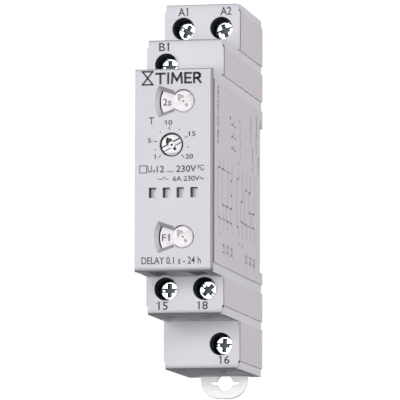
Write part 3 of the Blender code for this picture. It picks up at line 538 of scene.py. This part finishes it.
def node_look(name):
    """The material and edge rounding, in millimetres, of a CAD node that stays as it is."""
    looks = {
        "rail_latch": (LATCH_WHITE_PAINTED_GLOW, 0.18),
        "light_guide": (LIGHT_PIPE_PAINTED_GLOW, 0.08),
        "control_board": (SOLDER_MASK, 0.04),
        "main_board": (SOLDER_MASK, 0.04),
        "film_capacitor": (BLUE, 0.1),
        "varistor": (BLUE, 0.0),
        "time_potentiometer": (BLUE, 0.08),
        "fuse_resistor": (RESISTOR, 0.0),
        "relay_cover": (RELAY_CASE, 0.1),
        "relay_coil": (WINDING, 0.05),
        "relay_yoke": (IRON, 0.05),
        "relay_armature": (IRON, 0.08),
        "supply_led": (GREEN_LENS, 0.1),
        "relay_led": (RED_LENS, 0.1),
    }
    if name in ("housing_body", "side_cover", "front_cover"):
        return CASE, 0.07
    if name.startswith("screw_guide"):
        return GUIDE_BLACK, 0.08
    if name.startswith("terminal_cage"):
        return STEEL, 0.12
    if name.startswith("contact_bar"):
        return COPPER, 0.06
    if name.endswith("_contact"):
        return BRASS, 0.04
    return looks.get(name, (DARK, 0.08))


def dress_cad_nodes():
    """Give each CAD node its material and its rounded edges."""
    for name, node in frame["nodes"].items():
        material, width = node_look(name)
        node.data.materials.clear()
        node.data.materials.append(material)
        if width:
            soften(node, width * MM)


# ---- Printing -----------------------------------------------------------------------------
def letters(text, width, height, weight):
    """Letters as thin solids that fill a box of this width and height from the origin."""
    curve = bpy.data.curves.new("letters", "FONT")
    curve.body = text
    curve.offset = weight
    curve.extrude = 0.5
    curve.resolution_u = 4
    helper = bpy.data.objects.new("letters", curve)
    bpy.context.scene.collection.objects.link(helper)
    made = bmesh.new()
    made.from_mesh(helper.evaluated_get(bpy.context.evaluated_depsgraph_get()).to_mesh())
    bpy.data.objects.remove(helper)
    bmesh.ops.remove_doubles(made, verts=made.verts, dist=1e-5)
    low = [min(vert.co[i] for vert in made.verts) for i in range(2)]
    high = [max(vert.co[i] for vert in made.verts) for i in range(2)]
    for vert in made.verts:
        vert.co.x = (vert.co.x - low[0]) / (high[0] - low[0]) * width
        vert.co.y = (vert.co.y - low[1]) / (high[1] - low[1]) * height
        vert.co.z = vert.co.z * 2 * INK_LIFT
    return made


def stroke(start, end, width):
    """A thin bar between two points of the printing plane."""
    start = Vector(start)
    end = Vector(end)
    along = (end - start).normalized()
    side = Vector((-along.y, along.x)) * width / 2
    start = start - along * width / 2
    end = end + along * width / 2
    outline = [start - side, end - side, end + side, start + side]
    return prism([tuple(point) for point in outline], -INK_LIFT, INK_LIFT, "Z")


def dot(centre, radius):
    outline = [(centre[0] + u, centre[1] + v) for u, v in circle(radius, 16)]
    return prism(outline, -INK_LIFT, INK_LIFT, "Z")


def ring_line(centre, radius, start, end, width, steps):
    """Short strokes that follow an arc, from one angle to another in degrees."""
    points = []
    for index in range(steps + 1):
        angle = math.radians(start + (end - start) * index / steps)
        points.append((centre[0] + radius * math.cos(angle), centre[1] + radius * math.sin(angle)))
    return [stroke(first, second, width) for first, second in zip(points, points[1:])]


FRONT = Matrix(((1, 0, 0), (0, 0, -1), (0, 1, 0)))       # printing plane to a face towards -Y
RIGHT = Matrix(((0, 0, 1), (1, 0, 0), (0, 1, 0)))        # printing plane to a face towards +X


class Sheet:
    """Printing gathered on one face: every mark is given in millimetres on that face."""

    def __init__(self, turn, origin):
        self.turn = turn
        self.origin = Vector(origin)
        self.marks = bmesh.new()

    def add(self, mark, at=(0.0, 0.0), degrees=0.0):
        """Put a mark, made about the origin, at a place on the face."""
        spin = Matrix.Rotation(math.radians(degrees), 3, "Z")
        shift = Vector((at[0] * MM, at[1] * MM, 0.0))
        for vert in mark.verts:
            vert.co = self.turn @ (spin @ vert.co + shift) + self.origin
        loose = bpy.data.meshes.new("mark")
        mark.to_mesh(loose)
        mark.free()
        self.marks.from_mesh(loose)
        bpy.data.meshes.remove(loose)

    def text(self, words, left, foot, width, height, weight=0.0, degrees=0.0):
        self.add(letters(words, width * MM, height * MM, weight), (left, foot), degrees)

    def mark(self, words, left, foot, width, height, weight=0.0):
        """Text whose first or last figure 1 gets its flag, which the typeface lacks."""
        self.text(words, left, foot, width, height, weight)
        top = foot + height - 0.08
        reach = 0.22 * height
        if words[0] == "1":
            self.line((left + 0.08, top), (left - reach, top - 0.8 * reach), 0.12)
        if words[-1] == "1" and len(words) > 1:
            right = left + width - 0.1
            self.line((right, top), (right - reach, top - 0.8 * reach), 0.12)

    def line(self, start, end, width):
        self.add(stroke([v * MM for v in start], [v * MM for v in end], width * MM))

    def path(self, points, width):
        for first, second in zip(points, points[1:]):
            self.line(first, second, width)

    def dot(self, centre, radius):
        self.add(dot([v * MM for v in centre], radius * MM))

    def arc(self, centre, radius, start, end, width, steps):
        for part in ring_line([v * MM for v in centre], radius * MM, start, end, width * MM, steps):
            self.add(part)

    def finish(self, name, body, material=INK):
        bmesh.ops.recalc_face_normals(self.marks, faces=self.marks.faces)
        return piece_from(name, self.marks, [material], body)


def polar(centre, radius, degrees):
    angle = math.radians(degrees)
    return (centre[0] + radius * math.cos(angle), centre[1] + radius * math.sin(angle))


def bold_word(sheet, word, left, foot, wide, tall, weight):
    """Block capitals drawn with thick strokes, each in a cell of this width."""
    strokes = {
        "T": [[(0, 1), (0.8, 1)], [(0.4, 0), (0.4, 1)]],
        "I": [[(0.15, 0), (0.15, 1)]],
        "M": [[(0, 0), (0.08, 1), (0.48, 0.25), (0.88, 1), (0.96, 0)]],
        "E": [[(0.62, 1), (0.08, 1), (0.08, 0), (0.62, 0)], [(0.08, 0.5), (0.55, 0.5)]],
        "R": [[(0.08, 0), (0.08, 1), (0.45, 1), (0.62, 0.85), (0.62, 0.62), (0.45, 0.46), (0.08, 0.46)],
              [(0.38, 0.46), (0.7, 0)]],
    }
    widths = {"T": 1.0, "I": 0.5, "M": 1.2, "E": 0.85, "R": 0.85}
    for letter in word:
        for points in strokes[letter]:
            sheet.path([(left + u * wide, foot + v * tall) for u, v in points], weight)
        left += widths[letter] * wide


def print_heading(sheet):
    """A plain heading with an hourglass beside it, over the time range window."""
    left, foot, wide, tall = -7.0, 18.95, 2.3, 2.9
    right = left + wide
    top = foot + tall
    sheet.path([(left, foot), (right, foot), (left, top), (right, top), (left, foot)], 0.36)
    bold_word(sheet, "TIMER", -3.9, 19.25, 2.35, 2.1, 0.5)


def print_time_scale(sheet, centre):
    """The numbers, ticks and dots of the time scale, over 270 degrees."""
    numbers = (("1", -4.15, 2.4, 0.22), ("5", -5.75, 6.0, 0.75), ("10", -1.75, 9.9, 1.5),
               ("15", 3.5, 7.3, 1.5), ("20", 2.75, 2.3, 1.7))
    for words, left, foot, width in numbers:
        sheet.mark(words, left, foot, width, 1.06, 0.018)
    for degrees in (225, 168, 97, 26, -45):
        sheet.line(polar(centre, 3.35, degrees), polar(centre, 4.0, degrees), 0.17)
    for degrees in (197, 132, 61, -10):
        sheet.dot(polar(centre, 3.75, degrees), 0.15)
    sheet.text("T", -5.5, 10.1, 1.1, 1.6, 0.014)


def print_ratings(sheet):
    """The two rating lines: supply, then contact."""
    sheet.path([(-7.55, -0.65), (-6.0, -0.65), (-6.0, 0.95), (-7.55, 0.95), (-7.55, -0.65)], 0.17)
    sheet.text("U", -5.75, -0.6, 0.95, 1.5, 0.01)
    sheet.text("N", -4.6, -0.6, 0.55, 0.65, 0.03)
    sheet.text("12 ... 230V", -3.75, -0.62, 8.9, 1.5, 0.012)
    sheet.line((5.5, 0.8), (6.85, 0.8), 0.16)
    sheet.arc((5.8, 0.1), 0.35, 180, 0, 0.16, 6)
    sheet.arc((6.5, 0.1), 0.35, 180, 360, 0.16, 6)
    sheet.path([(-3.4, -2.1), (-2.6, -2.1), (-1.9, -1.6)], 0.16)
    sheet.line((-1.8, -2.1), (-1.1, -2.1), 0.16)
    sheet.text("6A 230V", -0.1, -2.6, 6.0, 1.15, 0.012)
    sheet.arc((6.15, -2.05), 0.2, 180, 0, 0.15, 5)
    sheet.arc((6.55, -2.05), 0.2, 180, 360, 0.15, 5)


def print_front():
    sheet = Sheet(FRONT, (0, FACE_Y, 0))
    print_heading(sheet)
    knob = JOINTS["time_knob_turn"]["pos_m"]
    print_time_scale(sheet, (knob[0] / MM, knob[2] / MM))
    print_ratings(sheet)
    sheet.text("DELAY 0.1 s - 24 h", -7.1, -20.9, 13.3, 1.6, 0.012)
    sheet.finish("front_printing", "root")


def print_terminal_marks():
    """The terminal marks on the two tiers."""
    marks = (
        ("end", "A1", -5.6, 39.1, 2.3),
        ("end", "A2", 4.2, 39.1, 2.6),
        ("mid", "B1", -6.0, 28.3, 2.3),
        ("mid", "15", -6.0, -29.9, 2.15),
        ("mid", "18", 3.1, -29.9, 2.15),
        ("end", "16", 4.3, -40.7, 2.15),
    )
    for tier, face in (("mid", MID_Y), ("end", END_Y)):
        sheet = Sheet(FRONT, (0, face, 0))
        for place_name, words, left, foot, width in marks:
            if place_name == tier:
                sheet.mark(words, left, foot, width, 1.85, 0.012)
        sheet.finish(tier + "_terminal_marks", "root")


def timing_line(sheet, y, pulses):
    """A timing line down the label: it steps forward, between dots, while its contact is made."""
    low = y + 1.0
    high = y - 1.1
    points = [(low, 3.4)]
    for start, end in pulses:
        points += [(low, start), (high, start), (high, end), (low, end)]
        sheet.dot((y, start), 0.33)
        sheet.dot((y, end), 0.33)
    sheet.path(points + [(low, -11.9)], 0.15)


def print_timing_lines(sheet):
    """The timing lines of the label's two groups, and the links between them."""
    first_group = [-49.6 + 4.8 * column for column in range(4)]
    second_group = [-27.5 + 4.8 * column for column in range(5)]
    first_pulses = (((1.2, -9.8),), ((1.3, -6.7),), ((-6.6, -9.9),), ((-0.3, -3.6), (-6.6, -9.9)))
    second_pulses = (((1.1, -9.9),), ((-3.6, -8.3),), ((-0.5, -8.4),), ((-0.6, -5.3),), ((-5.0, -8.3),))
    for y, pulses in zip(first_group + second_group, first_pulses + second_pulses):
        timing_line(sheet, y, pulses)
    links = ((-49.6, -35.5, 1.25), (-49.6, -35.2, -9.85), (-44.8, -35.2, -6.65),
             (-18.0, -13.1, -0.55), (-22.7, -8.3, -8.35), (-13.1, -8.3, -5.15))
    for start, end, z in links:
        sheet.line((start, z), (end, z), 0.13)


def print_functions(sheet):
    """The functions' names under the timing lines, each with its underline, and the time signs."""
    for index, y in enumerate((-45.2, -40.4, -35.6, -18.4, -13.6, -8.8)):
        sheet.text(f"F{index + 1}", y, -15.4, 2.0, 1.5, 0.01, -90)
        sheet.line((y + 2.3, -15.4), (y + 2.3, -17.6), 0.2)
    for y, z in ((-48.9, -13.0), (-26.3, -13.2), (-22.3, -13.3)):
        sheet.text("t", y, z, 0.8, 0.9, 0.0, -90)


def print_wiring(sheet):
    """The wiring signs: three contacts one over another, and a bracket beside them."""
    sheet.dot((-36.4, 13.9), 0.45)
    for z in (12.6, 9.9, 7.2):
        sheet.path([(-35.3, z), (-33.6, z - 0.1), (-31.8, z + 0.9)], 0.2)
        sheet.line((-31.0, z - 0.1), (-29.6, z - 0.1), 0.2)
        sheet.dot((-33.6, z), 0.28)
        sheet.dot((-31.2, z), 0.28)
    for z, start, end in ((12.6, -60, 100), (6.6, -100, 60)):
        sheet.arc((-26.4, z), 2.0, start, end, 0.15, 10)
    sheet.line((-24.4, 10.6), (-24.4, 8.6), 0.2)


def print_side():
    """The side panel's label, read from the left."""
    sheet = Sheet(RIGHT, (SIDE_X, 0, 0))
    print_timing_lines(sheet)
    sheet.text("SUPPLY 12-230 V  AC/DC  50/60 Hz", -51.3, 19.3, 12.9, 1.7, 0.02, -90)
    print_functions(sheet)
    print_wiring(sheet)
    for y, top, length in ((-12.4, 17.4, 6.4), (-10.2, 10.4, 5.6), (-5.4, 18.4, 8.6), (-3.2, 9.0, 4.4)):
        sheet.text("TIME RANGE 2 s - 24 h", y, top, length, 1.3, 0.0, -90)
    sheet.finish("side_printing", "root", FAINT_INK)


def print_dials():
    """The words of each dial, one to a position, upright when the dial brings them to its window."""
    dials = (("scale_dial", ("2s", "20s", "2m", "20m", "2h", "24h"), 1.85),
             ("function_dial", ("F1", "F2", "F3", "F4", "F5", "F6"), 1.7))
    for name, words, width in dials:
        joint = JOINTS[name + "_turn"]
        sheet = Sheet(FRONT, joint["pos_m"])
        sheet.mark(words[0], -4.85, -0.75, width, 1.5, 0.004)
        step = math.copysign(DIAL_STEP, joint["axis"][1])
        for position in range(1, len(words)):
            turned = step * position
            reach = min(width * len(words[position]) / 2, 2.3)
            corner = Matrix.Rotation(math.radians(turned), 2) @ Vector((-3.95 - reach / 2, -0.75))
            sheet.text(words[position], corner.x, corner.y, reach, 1.5, 0.004, turned)
        sheet.finish(name + "_printing", name, INK)


# ---- Shadow gaps --------------------------------------------------------------------------
def make_gap_painted_shade():
    """Dark sheets of painted shade in the gaps behind the front cover and beside the tiers' lips, where
    there is only shade.
    """
    recess = 0.08 * MM
    thick = 0.35 * MM
    slot = box_outline((FACE_Y + 1.35 * MM, -20.35 * MM), (FACE_Y + 2.6 * MM, 20.35 * MM))
    for name, outer in (("right", SIDE_X - recess), ("left", -SIDE_X + recess + thick)):
        shade_sheet = prism(slot, outer - thick, outer, "X")
        piece_from("slot_painted_shade_" + name, shade_sheet, [GAP_PAINTED_SHADE], "root")
    for tier, face, low, high in (("mid", MID_Y, 22.75, 29.4), ("end", END_Y, 31.15, 40.4)):
        for side, up in (("upper", 1), ("lower", -1)):
            ends = sorted((up * low * MM, up * high * MM))
            groove = box_outline((face + 0.36 * MM, ends[0]), (face + 1.22 * MM, ends[1]))
            shade_sheet = prism(groove, SIDE_X - recess - thick, SIDE_X - recess, "X")
            piece_from(f"{tier}_{side}_groove_painted_shade", shade_sheet, [GAP_PAINTED_SHADE], "root")


# ---- Selectors ----------------------------------------------------------------------------
def paint_cut_shade(bm, top, nearest, farthest, floor_level):
    """Give a rotor's cuts the second material, painted shade: their walls, and the floors below a level.

    A face counts when it comes nearer to the axis than one radius and stays within another.
    """
    for face in bm.faces:
        depth = face.calc_center_median().y
        reaches = [math.hypot(vert.co.x, vert.co.z) for vert in face.verts]
        inside = depth > top + 0.05 * MM and min(reaches) < nearest and max(reaches) < farthest
        shade_paint = abs(face.normal.y) < 0.5
        face.material_index = 1 if inside and (shade_paint or depth > floor_level) else 0


def disc_rings(radius, top, foot, edge):
    """A knob's rings: a rounded front edge on a straight side."""
    rings = []
    for index in range(5):
        angle = math.radians(90 * index / 4)
        rings.append((circle(radius - edge * (1 - math.sin(angle))), top + edge * (1 - math.cos(angle))))
    return rings + [(circle(radius), foot)]


def cut_rotor(body, radius, top, depths):
    """Cut a rotor's face: a wide slot between fine grooves and an arrow, round a hub, and a flat."""
    groove_depth, arrow_depth, flat_depth = depths
    over = top - PROUD
    slot_half, slot_depth = ROTOR_SLOT
    slot = prism(box_outline((-ACROSS, -slot_half), (ACROSS, slot_half)), over, top + slot_depth)
    cuts = [turn_solid(slot, SLOT_TURN)]
    for side in (-1, 1):
        edge = sorted(side * reach for reach in ROTOR_GROOVE)
        groove = prism(box_outline((-ACROSS, edge[0]), (ACROSS, edge[1])), over, top + groove_depth)
        cuts.append(turn_solid(groove, SLOT_TURN))
    tail = box_outline((-1.45 * MM, -0.3 * MM), (1.9 * MM, 0.3 * MM))
    head = [(0.55 * MM, -0.72 * MM), (1.2 * MM, -0.78 * MM), (1.95 * MM, 0), (1.2 * MM, 0.78 * MM),
            (0.55 * MM, 0.72 * MM)]
    cuts += [turn_solid(prism(outline, over, top + arrow_depth), ARROW_TURN) for outline in (tail, head)]
    hub = prism(circle(HUB_RADIUS, 48), over - PROUD, top + ACROSS)
    body = cut(body, *[cut(tool, hub.copy()) for tool in cuts])
    flat_outline = box_outline((-FLAT_HALF, -ACROSS), (FLAT_HALF, -radius + FLAT_INSET))
    flat = prism(flat_outline, over, top + flat_depth)
    pin_radius, pin_depth = PIN
    pin = prism(circle(pin_radius, 32), over, top + pin_depth)
    return cut(body, flat, pin)


def make_time_knob():
    """The time knob: its rotor, the flange behind the window and its shaft."""
    low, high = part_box("time_knob")
    centre = Vector(JOINTS["time_knob_turn"]["pos_m"])
    top = low.y - centre.y
    knob = stack(disc_rings(KNOB_RADIUS, top, 0.3 * MM, ROTOR_EDGE), "Y")
    flange = prism(circle(KNOB_FLANGE), 0.02 * MM, 0.65 * MM)
    shaft = prism(circle(SHAFT_RADIUS, 32), 0.5 * MM, high.y - centre.y)
    knob = cut_rotor(join(knob, flange, shaft), KNOB_RADIUS, top, KNOB_CUTS)
    paint_cut_shade(knob, top, 2.35 * MM, 3.3 * MM, top + 0.45 * MM)
    materials = [DIAL_WHITE, KNOB_PAINTED_SHADE]
    made = piece_from("time_rotor", knob, materials, "time_knob", centre, "time_knob")
    soften(made, 0.03 * MM)


def make_selector(name):
    """The printed disc with its rotor in front and its shaft behind."""
    low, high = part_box(name)
    centre = Vector(JOINTS[name + "_turn"]["pos_m"])
    top = low.y - centre.y
    dial = stack(disc_rings(DIAL_RADIUS, top, 0.4 * MM, ROTOR_EDGE), "Y")
    disc = prism(circle(DISC_RADIUS, 96), 0.0, 0.8 * MM)
    shaft = prism(circle(SHAFT_RADIUS, 32), 0.6 * MM, high.y - centre.y)
    dial = cut_rotor(join(dial, disc, shaft), DIAL_RADIUS, top, DIAL_CUTS)
    paint_cut_shade(dial, top, 2.25 * MM, 2.4 * MM, top + 0.35 * MM)
    materials = [DIAL_WHITE, DIAL_PAINTED_SHADE]
    made = piece_from(name + "_disc", dial, materials, name, centre, name)
    soften(made, 0.03 * MM)


# ---- Clamp screws -------------------------------------------------------------------------
def cut_screw_head(head):
    """Cut the slot, its borders and the cross into a screw's head."""
    half, depth = SCREW_SLOT
    head = cut(head, prism(box_outline((-ACROSS, -half), (ACROSS, half)), -PROUD, depth))
    for side in (-1, 1):
        edge = sorted(side * reach for reach in BORDER)
        border = prism(box_outline((-ACROSS, edge[0]), (ACROSS, edge[1])), -PROUD, BORDER_DEPTH)
        head = cut(head, border)
    for degrees, reach in zip((0, 90), ARM_REACH):
        foot = reach - ARM_TAPER
        wide = box_outline((-reach, -ARM_HALF[0]), (reach, ARM_HALF[0]))
        narrow = box_outline((-foot, -ARM_HALF[1]), (foot, ARM_HALF[1]))
        arm = stack([(wide, -0.2 * MM), (wide, 0.0), (narrow, ARM_DEPTH)], "Y")
        head = cut(head, turn_solid(arm, degrees))
    return head


def paint_screw_shade(head):
    """Give the cross and the slot's borders the second material, painted shade."""
    for face in head.faces:
        middle = face.calc_center_median()
        x, z = abs(middle.x), abs(middle.z)
        sunk = middle.y > 0.05 * MM
        in_cross = sunk and x < 1.17 * MM and z < 1.62 * MM and middle.y < 1.0 * MM
        in_border = sunk and 0.29 * MM < z < 0.51 * MM
        face.material_index = 1 if in_cross or in_border else 0


def thread(radius, start, end):
    """A shank with rounded thread ridges, as a stack of rings."""
    steps = int((end - start) / THREAD_PITCH * 4)
    rings = []
    for index in range(steps + 1):
        y = start + (end - start) * index / steps
        groove = THREAD_RIDGE * (0.5 + 0.5 * math.cos(index * math.pi / 2))
        rings.append((circle(radius - groove, 28), y))
    return stack(rings, "Y")


def make_screw(mark, turn):
    """A combination head: a shallow slot right across and a deep cross, on a threaded shank."""
    node = "terminal_screw_" + mark
    body = "screw_" + mark
    centre = Vector(JOINTS[body + "_turn"]["pos_m"])
    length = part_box(node)[1].y - centre.y
    head = stack(disc_rings(SCREW_RADIUS, 0.0, SCREW_HEAD, SCREW_EDGE), "Y")
    head = cut_screw_head(head)
    paint_screw_shade(head)
    turn_solid(head, turn)
    screw = join(head, thread(SHANK_RADIUS, 1.5 * MM, length))
    made = piece_from("clamp_screw_" + mark, screw, [ZINC, SCREW_PAINTED_SHADE], body, centre, node)
    soften(made, 0.05 * MM)


# ---- Latch spring -------------------------------------------------------------------------
def coil_solid(low, high, middle):
    """A closed coil of round wire that fills the height between two corners."""
    reach = high.x - SPRING_WIRE
    steps, sides = 20, 10
    count = SPRING_TURNS * steps
    bm = bmesh.new()
    loops = []
    for index in range(count + 1):
        angle = math.tau * index / steps
        height = low.z + SPRING_WIRE + (high.z - low.z - 2 * SPRING_WIRE) * index / count
        outward = Vector((math.cos(angle), math.sin(angle), 0.0))
        centre = Vector((0.0, middle, height)) + outward * reach
        section = circle(SPRING_WIRE, sides)
        loops.append([bm.verts.new(centre + outward * u + Vector((0, 0, v))) for u, v in section])
    for first, second in zip(loops, loops[1:]):
        for index in range(sides):
            after = (index + 1) % sides
            bm.faces.new((first[index], first[after], second[after], second[index]))
    bm.faces.new(loops[0])
    bm.faces.new(loops[-1])
    bmesh.ops.recalc_face_normals(bm, faces=bm.faces)
    return bm


def make_spring():
    """The latch's coil spring, made in the place of the CAD spring."""
    low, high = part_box("latch_spring")
    middle = (low.y + high.y) / 2
    bm = coil_solid(low, high, middle)
    made = piece_from("spring_coil", bm, [STEEL], "root", replaced="latch_spring")
    for polygon in made.data.polygons:
        polygon.use_smooth = True
    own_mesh(made)


# ---- Stage --------------------------------------------------------------------------------
def make_camera():
    data = bpy.data.cameras.new("camera")
    data.lens = CAMERA_LENS
    data.sensor_width = 36.0
    data.clip_start = 0.05
    data.clip_end = 20.0
    camera = bpy.data.objects.new("camera", data)
    bpy.context.scene.collection.objects.link(camera)
    forward = Vector((-math.sin(CAMERA_YAW) * math.cos(CAMERA_PITCH),
                      math.cos(CAMERA_YAW) * math.cos(CAMERA_PITCH), math.sin(CAMERA_PITCH)))
    right = Vector((math.cos(CAMERA_YAW), math.sin(CAMERA_YAW), 0.0))
    up = right.cross(forward)
    right, up = (right * math.cos(CAMERA_ROLL) + up * math.sin(CAMERA_ROLL),
                 up * math.cos(CAMERA_ROLL) - right * math.sin(CAMERA_ROLL))
    turn = Matrix((right, up, -forward)).transposed()
    camera.matrix_world = Matrix.Translation(CAMERA_PLACE) @ turn.to_4x4()
    bpy.context.scene.camera = camera


def make_light(name, place_at, size, power, colour=(1, 1, 1)):
    """A soft square light aimed at the object."""
    data = bpy.data.lights.new(name, "AREA")
    data.shape = "SQUARE"
    data.size = size
    data.energy = power
    data.color = colour
    light = bpy.data.objects.new(name, data)
    bpy.context.scene.collection.objects.link(light)
    light.location = place_at
    aim = Vector((0, -0.03, 0)) - Vector(place_at)
    light.rotation_mode = "QUATERNION"
    light.rotation_quaternion = aim.to_track_quat("-Z", "Y")


def make_world():
    """White where the camera looks past the object; the light is softer, and dimmer above and below."""
    world = bpy.data.worlds.new("studio")
    bpy.context.scene.world = world
    world.use_nodes = True
    nodes = world.node_tree.nodes
    links = world.node_tree.links
    split = nodes.new("ShaderNodeSeparateXYZ")
    links.new(nodes.new("ShaderNodeTexCoord").outputs["Generated"], split.inputs["Vector"])
    steepness = nodes.new("ShaderNodeMath")
    steepness.operation = "ABSOLUTE"
    links.new(split.outputs["Z"], steepness.inputs[0])
    ranged = nodes.new("ShaderNodeMapRange")
    ranged.inputs["From Min"].default_value = WORLD_FADE[0]
    ranged.inputs["From Max"].default_value = WORLD_FADE[1]
    ranged.inputs["To Min"].default_value = WORLD_LEVEL
    ranged.inputs["To Max"].default_value = WORLD_DIM
    links.new(steepness.outputs["Value"], ranged.inputs["Value"])
    soft = nodes["Background"]
    soft.inputs["Color"].default_value = (0.95, 0.95, 1.0, 1.0)
    links.new(ranged.outputs["Result"], soft.inputs["Strength"])
    seen = nodes.new("ShaderNodeBackground")
    seen.inputs["Color"].default_value = (1, 1, 1, 1)
    seen.inputs["Strength"].default_value = 1.05
    mixed = nodes.new("ShaderNodeMixShader")
    path = nodes.new("ShaderNodeLightPath")
    links.new(path.outputs["Is Camera Ray"], mixed.inputs["Fac"])
    links.new(soft.outputs["Background"], mixed.inputs[1])
    links.new(seen.outputs["Background"], mixed.inputs[2])
    links.new(mixed.outputs["Shader"], nodes["World Output"].inputs["Surface"])


def make_floor():
    """A pale floor well below the hanging device, which it neither lights nor shows in."""
    outline = box_outline((-FLOOR_HALF, -FLOOR_HALF), (FLOOR_HALF, FLOOR_HALF))
    bm = prism(outline, FLOOR_Z - FLOOR_THICK, FLOOR_Z, "Z")
    mesh = bpy.data.meshes.new("floor")
    bm.to_mesh(mesh)
    bm.free()
    floor = bpy.data.objects.new("floor", mesh)
    paint = Shader("floor_paint", (0.85, 0.85, 0.86), 0.7)
    paint.set_roughness(paint.remap(paint.noise(30.0), 0.6, 0.8))
    mesh.materials.append(paint.material)
    paint.shader.inputs["Emission Color"].default_value = (0.92, 0.92, 0.94, 1.0)
    paint.shader.inputs["Emission Strength"].default_value = 0.6
    bpy.context.scene.collection.objects.link(floor)
    floor.visible_diffuse = False
    floor.visible_glossy = False


def make_stage():
    bpy.context.scene.view_settings.view_transform = "Standard"
    make_camera()
    make_world()
    make_floor()
    make_light("key", (-0.30, -1.32, 0.02), 0.7, 10.2)
    make_light("fill", (1.15, -0.45, 0.20), 0.8, 12.6, (1.0, 0.975, 0.98))
    make_light("left", (-1.15, 0.20, 0.30), 0.8, 8.0)
    make_light("back", (-0.55, 1.15, 0.25), 0.8, 8.0)
    make_light("top", (-0.45, 0.25, 1.15), 0.7, 6.0)


make_stage()
dress_cad_nodes()
make_spring()
print_front()
print_terminal_marks()
print_side()
print_dials()
make_gap_painted_shade()
make_time_knob()
make_selector("scale_dial")
make_selector("function_dial")
for screw_mark, slot_turn in (("a1", 28), ("a2", -20), ("b1", 0), ("15", 0), ("18", 45), ("16", 4)):
    make_screw(screw_mark, slot_turn)
